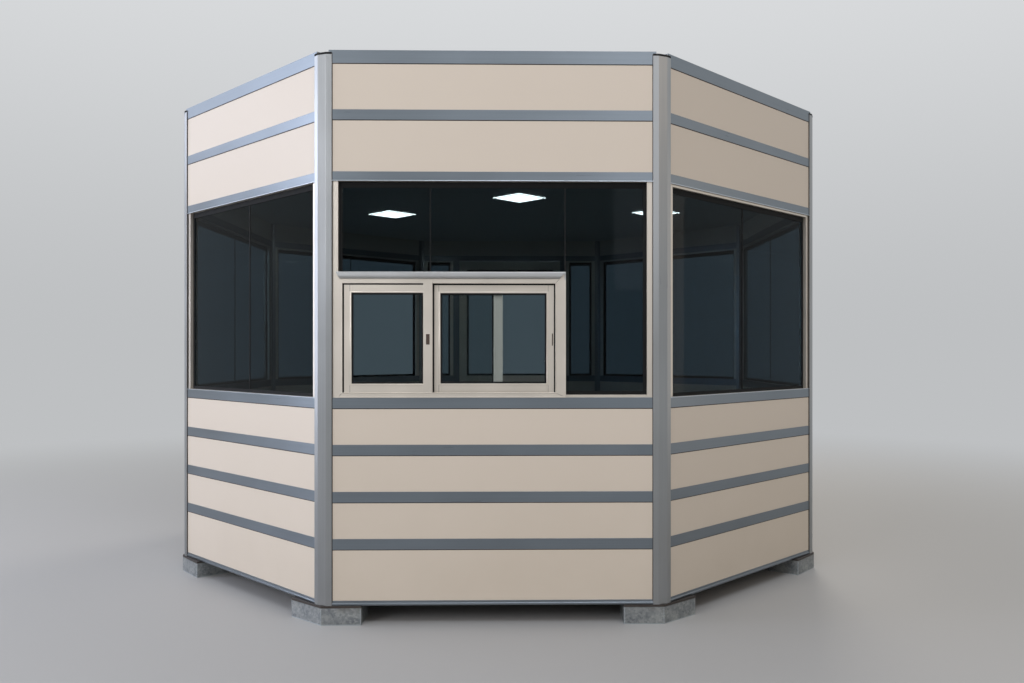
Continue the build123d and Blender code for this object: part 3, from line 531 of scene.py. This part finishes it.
# painted highlight: the rails' half-round edges in lighter metal, also the threshold's ribs
trimMetal = anodisedExtrusion("anodisedTrimAndHighlight", anodised["trim"])
# dark sealant that is also painted shadow lines; the roof's fillet takes it too
sealantShadowBead = tooledSealantAsShadow()

for subpart in frame["record"]["subparts"]:
    node = frame["nodes"][subpart["node"]]
    node.data.materials.clear()
    node.data.materials.append(slotFinish[subpart["material_slot"]])
frame["nodes"]["serving_glass"].data.materials[0] = floatedGlass("lightFloatGlass", "light")


# Straight, mitred and turned pieces are drawn in a wall's own lines and placed by its matrix.

def addPoints(mesh, place, points):
    return [mesh.verts.new(place @ Vector(point)) for point in points]


def bridge(mesh, loops):
    # four-sided faces from each loop of points to the next
    for loop, following in zip(loops, loops[1:]):
        for i in range(len(loop)):
            j = (i + 1) % len(loop)
            mesh.faces.new((loop[i], loop[j], following[j], following[i]))


def prism(mesh, place, outline, run):
    # a straight piece: its end is the outline, its length the vector run
    first = addPoints(mesh, place, outline)
    last = addPoints(mesh, place, [Vector(point) + Vector(run) for point in outline])
    mesh.faces.new(first)
    mesh.faces.new(last)
    bridge(mesh, [first, last])


def stripEnd(start, across, profile):
    # a strip's end outline; its profile is (share of the vector across, y)
    return [Vector(start) + share * Vector(across) + Vector((0, y, 0)) for share, y in profile]


def boxCorners(box, y, inset=0.0):
    x0, x1, z0, z1 = box
    return [(x0 + inset, y, z0 + inset), (x1 - inset, y, z0 + inset),
            (x1 - inset, y, z1 - inset), (x0 + inset, y, z1 - inset)]


def mitredRing(mesh, place, box, profile):
    # a strip round an opening (x0, x1, z0, z1); its profile is (inwards from the edge, y)
    loops = [addPoints(mesh, place, boxCorners(box, y, inset)) for inset, y in profile]
    bridge(mesh, loops + loops[:1])


def turned(mesh, place, profile, around=20):
    # a turned piece: its profile is (radius, height) from the rim to the middle, height along z
    turns = [math.tau * i / around for i in range(around)]
    rings = [addPoints(mesh, place, [(radius * math.cos(turn), radius * math.sin(turn), height)
                                     for turn in turns]) for radius, height in profile]
    mesh.faces.new(rings[0])
    mesh.faces.new(rings[-1])
    bridge(mesh, rings)


def roundOver(a0, a1, base, height, steps=6):
    # points of a half-round from a0 to a1 that stands height out of base, towards lower values
    middle, half = (a0 + a1) / 2, (a1 - a0) / 2
    turns = [math.pi * i / steps for i in range(steps + 1)]
    return [(middle - half * math.cos(turn), base - height * math.sin(turn)) for turn in turns]


def addPiece(name, mesh, slot, material=None):
    # a piece in its slot's own finish, or in the material given
    bmesh.ops.recalc_face_normals(mesh, faces=mesh.faces)
    for face in mesh.faces:
        face.smooth = True
    for edge in mesh.edges:
        edge.smooth = edge.calc_face_angle(0) < sharpEdge
    data = bpy.data.meshes.new(name)
    mesh.to_mesh(data)
    mesh.free()
    data.materials.append(material or slotFinish[slot])
    piece = bpy.data.objects.new(name, data)
    bpy.context.scene.collection.objects.link(piece)
    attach(piece, "root")


# sealant beads under the rails and beside the posts, dark as painted shadow lines
def sealPanelsInShadowLines():
    mesh = bmesh.new()
    # panels end under every rail but the lowest and the header
    undersides = [rail[0] for rail in railHeights[1:5] + railHeights[6:]]
    postRuns = ((booth["bottom"], booth["windowTop"]), (booth["windowTop"], booth["postTop"]))
    for side in range(booth["sides"]):
        place = wallPlace(side)
        for z in undersides:
            for x0, x1 in wallSpans(side, z):
                outline = stripEnd((x0, 0, z), (0, 0, -sealantAndShadowLine["width"]), sealantAndShadowLine["profile"])
                prism(mesh, place, outline, (x1 - x0, 0, 0))
        for z0, z1 in postRuns:
            for x0, x1 in wallSpans(side, z0):
                for x, inwards in ((x0, 1), (x1, -1)):
                    across = (inwards * sealantAndShadowLine["postWidth"], 0, 0)
                    outline = stripEnd((x, 0, z0), across, sealantAndShadowLine["postProfile"])
                    prism(mesh, place, outline, (0, 0, z1 - z0))
    addPiece("panelSealantShadowLines", mesh, "black_rubber", sealantShadowBead)


# Half-round edges that the rails are drawn with: under the header, on the sill and under the bottom
# rail. The first two are in a lighter metal, a painted highlight that shows as thin bright lines.
halfRound = {"header": 0.0045, "sill": 0.004, "bottom": 0.012, "proud": 0.0018}


def edgeRails():
    bright, dull = bmesh.new(), bmesh.new()
    bottom, sill, header = booth["bottom"], booth["windowBottom"], booth["windowTop"]
    for side in range(booth["sides"]):
        place = wallPlace(side)
        rows = [(dull, bottom, bottom + halfRound["bottom"]), (bright, header, header + halfRound["header"])]
        if side != 0:    # the serving window leaves the front's sill plain
            rows.append((bright, sill - halfRound["sill"], sill))
        for mesh, z0, z1 in rows:
            curve = roundOver(z0, z1, booth["railFace"], halfRound["proud"])
            for x0, x1 in wallSpans(side, z0):
                prism(mesh, place, [(x0, y, z) for z, y in curve], (x1 - x0, 0, 0))
    addPiece("railEdges", bright, "rail_aluminium", trimMetal)
    addPiece("bottomEdges", dull, "rail_aluminium")


# The posts' caps have a soft black lip that hangs over the end of each post.
capLip = {
    "low": 2.5685,
    "high": 2.5745,
    "proud": 0.0007,
    "sunk": 0.0004,
    "postProud": 0.006,
    "facet": 0.0215,          # from a corner to the edge of the post's middle facet
}


def lipCaps():
    mesh = bmesh.new()
    nextWall = Matrix.Rotation(cornerTurn, 4, "Z")
    low, lip, facet = capLip["low"], booth["postLip"], capLip["facet"]
    for side in range(booth["sides"]):
        place = wallPlace(side) @ Matrix.Translation((sideLength(side) / 2, 0, 0))
        faces = []
        for away in (capLip["postProud"] - capLip["sunk"], capLip["postProud"] + capLip["proud"]):
            own = [Vector((x, -away, low)) for x in (-lip, -facet)]
            faces.append(own + [nextWall @ Vector((x, -away, low)) for x in (facet, lip)])
        hidden, shown = faces
        prism(mesh, place, shown + hidden[::-1], (0, 0, capLip["high"] - low))
    addPiece("capLips", mesh, "black_rubber")


sealPanelsInShadowLines()
edgeRails()
lipCaps()
print("walls sealed and edged")

# Serving window: x0, x1, z0, z1 of the frame's opening and y of its outside face, and the same of each
# sash's glass opening.
serving = {
    "frame": (-0.6757, 0.2820, 1.0470, 1.5385, -0.0060),
    "left": (-0.6357, -0.3137, 1.0865, 1.4955, -0.0027),
    "right": (-0.2382, 0.2420, 1.0865, 1.4955, 0.0165),
    "inner": (-0.2722, 0.0018, 1.0865, 1.4955, 0.0345),
    # x and z of the mitres' outer ends: lower right, upper right, lower left
    "mitreEnds": ((0.3165, 1.0298), (0.2998, 1.5582), (-0.6905, 1.0302)),
    "topMitreGap": (0.0008, 0.0010),
}
# a profile's points are a share of the trim's width and y from the sash's face
sashTrim = {
    "bead": 0.0075,
    "beadProud": 0.0016,
    "gasket": 0.0080,
    "gasketProfile": ((0.0, 0.0020), (0.6, 0.0028), (1.0, 0.0046), (1.0, 0.0055), (0.0, 0.0055)),
    "brush": 0.0065,
    "brushProfile": ((0.0, 0.0002), (0.0, -0.0016), (1.0, -0.0012), (1.0, 0.0002)),
    "nosing": 0.0045,
    "nosingProud": 0.0022,
    "joint": 0.0010,
    "jointProud": 0.00015,
    "jointSunk": 0.0002,
}


def beadSashes():
    beads, gaskets = bmesh.new(), bmesh.new()
    place = wallPlace(0)
    for name in ("left", "right", "inner"):
        *box, face = serving[name]
        mitredRing(beads, place, box, roundOver(-sashTrim["bead"], 0.0, face, sashTrim["beadProud"]))
        mitredRing(gaskets, place, box, [(share * sashTrim["gasket"], face + y)
                                         for share, y in sashTrim["gasketProfile"]])
    addPiece("sashBeads", beads, "frame_aluminium")
    addPiece("sashGaskets", gaskets, "black_rubber")


def brushSealShadows():
    # pile strips that stand between the serving frame's face and each sash; their black is also painted
    # shadow in the gaps beside the sashes
    mesh = bmesh.new()
    place = wallPlace(0)
    left, right, low, high = serving["frame"][:4]
    leftFace, rightFace = serving["left"][4], serving["right"][4]
    cover, meeting = serving["left"][1], serving["inner"][0]    # edges of the left sash's meeting stile
    wide, profile = sashTrim["brush"], sashTrim["brushProfile"]
    for x0, x1, face in ((left, cover, leftFace), (meeting, right, rightFace)):
        prism(mesh, place, stripEnd((x0, face, high), (0, 0, -wide), profile), (x1 - x0, 0, 0))
    for x, face, inwards in ((left, leftFace, 1), (right, rightFace, -1), (meeting, rightFace, 1)):
        prism(mesh, place, stripEnd((x, face, low), (inwards * wide, 0, 0), profile), (0, 0, high - low))
    addPiece("brushSealShadows", mesh, "black_rubber")


def noseFrame():
    # rounded edges of the serving frame's bars beside and under the sashes
    mesh = bmesh.new()
    place = wallPlace(0)
    left, right, low, high, face = serving["frame"]
    wide, proud = sashTrim["nosing"], sashTrim["nosingProud"]
    for edge in (left - wide, right):
        curve = roundOver(edge, edge + wide, face, proud)
        prism(mesh, place, [(x, y, low - wide) for x, y in curve], (0, 0, high - low + wide))
    curve = roundOver(low - wide, low, face, proud)
    prism(mesh, place, [(left - wide, y, z) for z, y in curve], (right - left + 2 * wide, 0, 0))
    addPiece("frameNosings", mesh, "frame_aluminium")


def lineJoints():
    # hairlines where the sashes' rails butt on their stiles and where the frame's bars are mitred
    mesh = bmesh.new()
    place = wallPlace(0)
    bead, nosing, brush = sashTrim["bead"], sashTrim["nosing"], sashTrim["brush"]
    left, right, low, high, frameFace = serving["frame"]
    lines = []
    # the left sash's right stile is the meeting stile, which stands forward without a joint
    for name, sides in (("left", (0,)), ("right", (0, 1))):
        x0, x1, z0, z1, face = serving[name]
        for side in sides:
            x = (x0 - bead, x1 + bead)[side]
            lines += [((x, low), (x, z0 - bead), face), ((x, z1 + bead), (x, high - brush), face)]
    gapX, gapZ = serving["topMitreGap"]
    mitreStarts = ((right + nosing, low - nosing), (right + gapX, high + gapZ), (left - nosing, low - nosing))
    lines += [(start, end, frameFace) for start, end in zip(mitreStarts, serving["mitreEnds"])]
    for start, end, face in lines:
        first = Vector((start[0], face, start[1]))
        run = Vector((end[0], face, end[1])) - first
        aside = Vector((-run.z, 0, run.x)).normalized() * sashTrim["joint"] / 2
        over, under = Vector((0, -sashTrim["jointProud"], 0)), Vector((0, sashTrim["jointSunk"], 0))
        outline = [first + aside + under, first + aside + over, first - aside + over, first - aside + under]
        prism(mesh, place, outline, run)
    addPiece("barJoints", mesh, "black_rubber")


# Flush pull on the left sash's meeting stile and latch slot on the right sash: x0, x1, z0, z1 and face.
# Their trays are bronze nylon, moulded with a fine spark texture that breaks up the shine; they sit near
# the stiles' faces, and their dark bronze is also painted shade for the recesses' depth.
pulls = {
    "pull": (-0.3030, -0.2826, 1.2605, 1.3120, -0.0060),
    "latch": (0.2640, 0.2735, 1.2560, 1.3155, 0.0165),
    "rim": 0.0022,
    "proud": 0.0014,
    "trayInset": 0.6,         # share of the rim that the tray passes under
    "traySunk": 0.0005,
    "trayThick": 0.0008,
    # painted shade: the dark bronze stands in for the depth of the recesses
    "colour": "#4A3A30",
    "sparkMm": 2,             # real spark texture is finer; drawn coarser to show
}


def bronzeNylonRecessShade():
    material, tree, shader, place = newMaterial("bronzeNylonRecessShade", pulls["colour"], 0.5)
    spark = noise(tree, place, pulls["sparkMm"], detail=2.0)
    uneven = addNode(tree, "MapRange", {"Value": spark, "To Min": 0.38, "To Max": 0.62})
    setSockets(tree, shader, {"Roughness": uneven})
    return material


def setPulls():
    rims, trays = bmesh.new(), bmesh.new()
    place = wallPlace(0)
    rim, proud = pulls["rim"], pulls["proud"]
    for name in ("pull", "latch"):
        *box, face = pulls[name]
        mitredRing(rims, place, box, roundOver(0.0, rim, face, proud))
        corners = boxCorners(box, face + pulls["traySunk"], rim * pulls["trayInset"])
        prism(trays, place, corners, (0, -pulls["trayThick"], 0))
    addPiece("pullRims", rims, "frame_aluminium")
    addPiece("pullTrays", trays, "black_rubber", bronzeNylonRecessShade())


beadSashes()
brushSealShadows()
noseFrame()
lineJoints()
setPulls()
print("serving window fitted")

# Door: glazing beads and rubber, the lock's cylinder, screws, hinge caps and a ribbed threshold.
# The leaf is drawn on the back wall's line. A profile's points are (inwards from the opening's edge, y).
door = {
    "left": -0.436,
    "right": 0.436,
    "bottom": 0.1523,
    "top": 1.995,
    "stile": 0.070,
    "footRail": 0.110,
    "face": -0.0023,
    "bead": ((0.0, -0.0017), (0.004, -0.0013), (0.011, 0.00335), (0.011, 0.00685), (0.0, 0.00685)),
    "gasket": ((0.0108, 0.00385), (0.0150, 0.00525), (0.0150, 0.00685), (0.0108, 0.00685)),
}


def beadDoor():
    beads, gaskets = bmesh.new(), bmesh.new()
    place = wallPlace(booth["doorSide"])
    x0, x1 = door["left"] + door["stile"], door["right"] - door["stile"]
    edges = [door["bottom"] + door["footRail"]] + [z for rail in railHeights[2:5] for z in rail]
    openings = list(zip(edges[0::2], edges[1::2])) + [(edges[-1], door["top"] - door["stile"])]
    for z0, z1 in openings:
        mitredRing(beads, place, (x0, x1, z0, z1), door["bead"])
        mitredRing(gaskets, place, (x0, x1, z0, z1), door["gasket"])
    addPiece("doorBeads", beads, "frame_aluminium")
    addPiece("doorGaskets", gaskets, "black_rubber")


# The door's fittings. A turned profile is (radius, height), from the rim to the middle.
fittings = {
    "handle": (-0.401, 1.1463),            # x and z of its middle
    "plate": 0.0063,                       # thickness of the plate under the handle
    "plateScrew": 0.086,                   # above and below the handle's middle
    "lockBelow": 0.062,
    "cylinder": ((0.0095, 0.0), (0.0095, 0.0022), (0.0085, 0.0032), (0.0060, 0.0034), (0.0058, 0.0028)),
    "keyway": (0.0008, 0.0040),            # half its width and height
    "keywayProud": 0.0036,
    "keywayDeep": 0.0012,
    "screw": ((0.0042, 0.0), (0.0042, 0.0006), (0.0034, 0.0014), (0.0016, 0.0017), (0.0014, 0.0008)),
    "hingeX": 0.438,
    "hingeZ": (0.3323, 1.07365, 1.815),
    "leaf": 0.0033,                        # thickness of a hinge leaf
    "leafScrew": (0.019, 0.036),           # x to each side of the knuckle and z between screws
    "knuckleProud": 0.0083,
    "knuckleEnd": 0.050,
    "knuckleCap": ((0.0090, -0.0015), (0.0090, 0.0015), (0.0070, 0.0035), (0.0025, 0.0042)),
    "knuckleJoint": 0.0170,
    "jointRing": ((0.0081, -0.0006), (0.0083, -0.0003), (0.0083, 0.0003), (0.0081, 0.0006)),
}


def facingOut(wall, x, y, z):
    # a place on a wall for a turned piece whose axis points outwards
    return wall @ Matrix.Translation((x, y, z)) @ Matrix.Rotation(math.radians(90), 4, "X")


def fitHinge(steel, dark, wall, z):
    # screws in both leaves, a cap on each end of the knuckle and dark rings where its parts meet
    x, face = fittings["hingeX"], door["face"]
    aside, apart = fittings["leafScrew"]
    for screwX in (x - aside, x + aside):
        for screwZ in (z - apart, z, z + apart):
            turned(steel, facingOut(wall, screwX, face - fittings["leaf"], screwZ), fittings["screw"])
    knuckle = wall @ Matrix.Translation((x, face - fittings["knuckleProud"], z))
    for turn in (0, 180):
        end = Matrix.Rotation(math.radians(turn), 4, "X") @ Matrix.Translation((0, 0, fittings["knuckleEnd"]))
        turned(steel, knuckle @ end, fittings["knuckleCap"])
    for up in (-fittings["knuckleJoint"], fittings["knuckleJoint"]):
        turned(dark, knuckle @ Matrix.Translation((0, 0, up)), fittings["jointRing"])


def fitDoor():
    steel, dark = bmesh.new(), bmesh.new()
    wall = wallPlace(booth["doorSide"])
    x, z = fittings["handle"]
    plate, lock = door["face"] - fittings["plate"], z - fittings["lockBelow"]
    turned(steel, facingOut(wall, x, plate, lock), fittings["cylinder"])
    # the keyway is a black block on the cylinder's face: painted shade for its slot
    halfWide, halfHigh = fittings["keyway"]
    keyway = (x - halfWide, x + halfWide, lock - halfHigh, lock + halfHigh)
    prism(dark, wall, boxCorners(keyway, plate - fittings["keywayProud"]), (0, fittings["keywayDeep"], 0))
    for screwZ in (z - fittings["plateScrew"], z + fittings["plateScrew"]):
        turned(steel, facingOut(wall, x, plate, screwZ), fittings["screw"])
    for hingeZ in fittings["hingeZ"]:
        fitHinge(steel, dark, wall, hingeZ)
    addPiece("doorScrews", steel, "handle_steel")
    addPiece("doorDark", dark, "black_rubber")


# Half-round ribs across the door's threshold, which slopes.
threshold = {
    "half": 0.437,            # half its length
    "deep": 0.0546,
    "rise": 0.0020,           # from its outside edge to its inside edge
    "ribs": 6,
    "firstRib": 0.006,
    "ribPitch": 0.0068,
    "ribHalf": 0.0016,
    "ribHigh": 0.0011,
}


def ribThreshold():
    mesh = bmesh.new()
    place = wallPlace(booth["doorSide"])
    half = threshold["ribHalf"]
    for i in range(threshold["ribs"]):
        middle = threshold["firstRib"] + i * threshold["ribPitch"]
        level = booth["floor"] + threshold["rise"] * (middle - door["face"]) / threshold["deep"]
        curve = roundOver(middle - half, middle + half, level, -threshold["ribHigh"])
        outline = [(-threshold["half"], y, z) for y, z in curve]
        prism(mesh, place, outline, (2 * threshold["half"], 0, 0))
    addPiece("thresholdRibs", mesh, "rail_aluminium", trimMetal)


beadDoor()
fitDoor()
ribThreshold()
print("door fitted")

# Roof: lapped sheet ribs, cap screws with washers, a sealant fillet round the edge and two outlets.
# Turned profiles are (radius, height); the fillet's is (inwards from the roof's edge, height).
roofTrim = {
    "ribsEachSide": 3,        # of the middle one
    "ribPitch": 0.43,
    "ribHalf": 0.022,
    "ribTop": 0.55,           # share of its width
    "ribHigh": 0.012,
    "ribEdge": 0.0012,
    "ribSunk": 0.0005,
    "screwPitch": 0.42,
    "screw": ((0.0085, -0.0004), (0.0085, 0.0012), (0.0052, 0.0016), (0.0050, 0.0056), (0.0030, 0.0064)),
    "fillet": ((-0.0005, -0.001), (-0.0005, 0.018), (0.005, 0.006), (0.018, 0.0008), (0.018, -0.001)),
    "outlets": ((-1.075, 1.25), (1.075, 1.25)),
    "outlet": ((0.055, -0.0005), (0.055, 0.003), (0.048, 0.005), (0.040, 0.005), (0.038, 0.012),
               (0.030, 0.026), (0.016, 0.034), (0.004, 0.036)),
}


def octagon(inset):
    # the plan's corners at a distance inside the panels' outside faces
    half = booth["squareSide"] / 2 - inset * math.tan(cornerTurn / 2)
    reach = wallReach(0) - inset
    corners = []
    for turn in range(4):
        spin = Matrix.Rotation(math.radians(90 * turn), 4, "Z")
        corners += [spin @ Vector((-half, -reach, 0)), spin @ Vector((half, -reach, 0))]
    return corners


def ribReach(x):
    # half the length of a rib or strip that runs along y at x, on the roof or the ceiling
    corner = octagon(booth["insidePlan"])[0]
    across, reach = abs(corner.x), abs(corner.y)
    return reach - max(0.0, abs(x) - across) - booth["ribGap"]


def ribRoof():
    ribs, screws = bmesh.new(), bmesh.new()
    level, half, pitch = booth["roofTop"], roofTrim["ribHalf"], roofTrim["screwPitch"]
    top, low = half * roofTrim["ribTop"], level - roofTrim["ribSunk"]
    edge, high = level + roofTrim["ribEdge"], level + roofTrim["ribHigh"]
    for i in range(-roofTrim["ribsEachSide"], roofTrim["ribsEachSide"] + 1):
        x = i * roofTrim["ribPitch"]
        reach = ribReach(x)
        outline = [(x + dx, -reach, z) for dx, z in ((-half, low), (-half, edge), (-top, high), (top, high),
                                                     (half, edge), (half, low))]
        prism(ribs, Matrix.Identity(4), outline, (0, 2 * reach, 0))
        steps = int(reach // pitch)
        for j in range(-steps, steps + 1):
            turned(screws, Matrix.Translation((x, j * pitch, high)), roofTrim["screw"], around=12)
    addPiece("roofRibs", ribs, "cream_panel")
    addPiece("roofScrews", screws, "galvanised_steel")


def sealRoof():
    mesh = bmesh.new()
    loops = []
    for inset, height in roofTrim["fillet"]:
        place = Matrix.Translation((0, 0, booth["roofTop"] + height))
        loops.append(addPoints(mesh, place, octagon(booth["insidePlan"] + inset)))
    bridge(mesh, loops + loops[:1])
    addPiece("roofFillet", mesh, "black_rubber", sealantShadowBead)


def setOutlets():
    mesh = bmesh.new()
    for x, y in roofTrim["outlets"]:
        turned(mesh, Matrix.Translation((x, y, booth["roofTop"])), roofTrim["outlet"], around=28)
    addPiece("roofOutlets", mesh, "galvanised_steel")


ribRoof()
sealRoof()
setOutlets()
print("roof covered")

# Inside: joint strips on the ceiling, bezels round the lights, and skirting on the floor.
inside = {
    "strips": (-1.15, -0.385, 0.385, 1.15),
    "stripHalf": 0.014,
    "stripDeep": 0.0016,
    "lights": ((-0.773, 0.285), (0.104, -0.374), (1.022, 0.190)),
    "lightHalf": 0.1125,
    "lightDrop": 0.0043,
    "bezel": 0.011,
    "bezelProfile": ((0.0, -0.0030), (0.0, 0.0008), (0.4, 0.0022), (1.0, 0.0012), (1.0, 0.0001)),
    "bezelGap": 0.001,
    "skirtingHigh": 0.070,
    "skirtingThick": 0.010,
    "skirtingFlat": 0.5,      # share of its thickness that is flat on top; then it slopes
    "skirtingSlope": 0.6,     # down by this share
    "skirtingOff": 0.0005,    # from the edge of the floor
    "skirtingGap": 0.002,     # at each end
}


def stripCeiling():
    mesh = bmesh.new()
    half = inside["stripHalf"]
    for x in inside["strips"]:
        reach = ribReach(x)
        curve = roundOver(x - half, x + half, booth["ceiling"], inside["stripDeep"], steps=4)
        prism(mesh, Matrix.Identity(4), [(a, -reach, z) for a, z in curve], (0, 2 * reach, 0))
    addPiece("ceilingStrips", mesh, "ceiling_panel")


def skirtWalls():
    mesh = bmesh.new()
    thick, z = inside["skirtingThick"], booth["floor"]
    top, face = z + inside["skirtingHigh"], booth["insidePlan"] + inside["skirtingOff"]
    flat, slope = thick * inside["skirtingFlat"], thick * inside["skirtingSlope"]
    shorter = (face + thick) * math.tan(cornerTurn / 2) + inside["skirtingGap"]
    for side in range(booth["sides"]):
        for x0, x1 in wallSpans(side, z, shorter):
            outline = [(x0, face, z), (x0, face, top), (x0, face + flat, top),
                       (x0, face + thick, top - slope), (x0, face + thick, z)]
            prism(mesh, wallPlace(side), outline, (x1 - x0, 0, 0))
    addPiece("skirting", mesh, "frame_aluminium")


def rimLights():
    # the ring is drawn upright like a window's, turned cornerwise and laid flat under the ceiling
    mesh = bmesh.new()
    half = inside["lightHalf"] + inside["bezelGap"]
    profile = [(share * inside["bezel"], y) for share, y in inside["bezelProfile"]]
    laid = Matrix.Rotation(math.radians(45), 4, "Z") @ Matrix.Rotation(math.radians(90), 4, "X")
    for x, y in inside["lights"]:
        spot = Matrix.Translation((x, y, booth["ceiling"] - inside["lightDrop"])) @ laid
        mitredRing(mesh, spot, (-half, half, -half, half), profile)
    addPiece("lightBezels", mesh, "ceiling_panel")


stripCeiling()
skirtWalls()
rimLights()
print("inside lined")

studio = {
    "sky": "#DDDFE1",
    "horizon": "#BEC0C2",
    "horizonTop": 0.5,        # share of the way up where the sky's colour is reached
    "floor": "#B3B3B2",
    "fadeStart": 2.3,         # metres from the booth's middle; beyond fadeEnd the floor is backdrop
    "fadeEnd": 9.0,
    "radius": 60.0,
    "light": "#F4F3F1",
    "ambient": 0.40,
}


def seenRays(tree):
    # 1 for the rays that show the studio: straight from the camera, mirrored or through glass
    rays = addNode(tree, "LightPath")
    seen = addNode(tree, "Math", {0: rays.outputs["Is Camera Ray"], 1: rays.outputs["Is Glossy Ray"]},
                   operation="ADD")
    return addNode(tree, "Math", {0: seen, 1: rays.outputs["Is Transmission Ray"]},
                   operation="ADD", use_clamp=True)


def studioFloor():
    mesh = bmesh.new()
    bmesh.ops.create_circle(mesh, cap_ends=True, segments=96, radius=studio["radius"])
    data = bpy.data.meshes.new("studioFloor")
    mesh.to_mesh(data)
    mesh.free()
    floor = bpy.data.objects.new("studioFloor", data)
    bpy.context.scene.collection.objects.link(floor)
    material, tree, shader, place = newMaterial("studioFloorPaint", studio["floor"], 0.6)
    away = addNode(tree, "VectorMath", {0: place}, operation="LENGTH")
    fade = addNode(tree, "MapRange", {"Value": away.outputs["Value"], "From Min": studio["fadeStart"],
                                      "From Max": studio["fadeEnd"]}, interpolation_type="SMOOTHSTEP")
    share = addNode(tree, "Math", {0: fade, 1: seenRays(tree)}, operation="MULTIPLY")
    far = addNode(tree, "Emission", {"Color": linear(studio["horizon"])})
    mix = addNode(tree, "MixShader", {0: share, 1: shader, 2: far})
    setSockets(tree, tree.nodes["Material Output"], {"Surface": mix})
    data.materials.append(material)


def studioWorld():
    world = bpy.data.worlds.new("studio")
    world.use_nodes = True
    bpy.context.scene.world = world
    tree = world.node_tree
    tree.nodes.clear()
    ambient = addNode(tree, "Background", {"Color": linear(studio["light"]), "Strength": studio["ambient"]})
    up = addNode(tree, "SeparateXYZ", {0: addNode(tree, "TexCoord").outputs["Generated"]}).outputs["Z"]
    rise = addNode(tree, "MapRange", {"Value": up, "From Max": studio["horizonTop"]},
                   interpolation_type="SMOOTHSTEP")
    backdrop = mixColours(tree, rise, studio["horizon"], studio["sky"])
    shown = addNode(tree, "Background", {"Color": backdrop, "Strength": 1.0})
    mix = addNode(tree, "MixShader", {0: seenRays(tree), 1: ambient, 2: shown})
    addNode(tree, "OutputWorld", {"Surface": mix})


# place, aim, width, height, watts, colour
softboxes = {
    "skyLeft": ((-6.5, 0.3, 4.8), (-1.2, -1.0, 1.8), 5.0, 3.6, 64, "#E0E8FF"),
    "leftSide": ((-8.0, -2.0, 2.35), (-1.0, -1.3, 1.1), 3.0, 4.0, 212, "#E6EBFF"),
    "leftFront": ((-4.6, -7.2, 3.4), (-0.6, -1.5, 1.0), 2.6, 2.6, 138, "#FAFAFF"),
    "frontTop": ((0.8, -7.0, 8.2), (0.0, -1.2, 1.6), 4.5, 3.0, 224, "#F4F7FF"),
    "frontStrip": ((1.7, -9.0, 3.6), (0.7, -1.8, 1.8), 0.9, 3.2, 13, "#F4F6FF"),
    "rightFill": ((4.4, -6.8, 4.4), (1.2, -1.5, 1.4), 2.5, 2.5, 24, "#FFD8AC"),
    "rightStrip": ((7.7, -0.82, 2.0), (0.8, -1.8, 1.4), 0.8, 3.5, 7, "#FFE9D2"),
    "rearTop": ((2.5, 6.5, 6.0), (0.0, 0.0, 1.6), 3.0, 3.0, 220, "#FFF4E6"),
}


def hangSoftboxes():
    for name, (place, aim, width, height, watts, colour) in softboxes.items():
        data = bpy.data.lights.new(name, "AREA")
        data.shape = "RECTANGLE"
        data.size, data.size_y = width, height
        data.energy = watts
        data.color = linear(colour)[:3]
        lamp = bpy.data.objects.new(name, data)
        lamp.location = place
        lamp.rotation_euler = (Vector(aim) - Vector(place)).to_track_quat("-Z", "Y").to_euler()
        bpy.context.scene.collection.objects.link(lamp)


studioFloor()
studioWorld()
hangSoftboxes()
bpy.context.scene.view_settings.view_transform = "Standard"
print("studio lit")
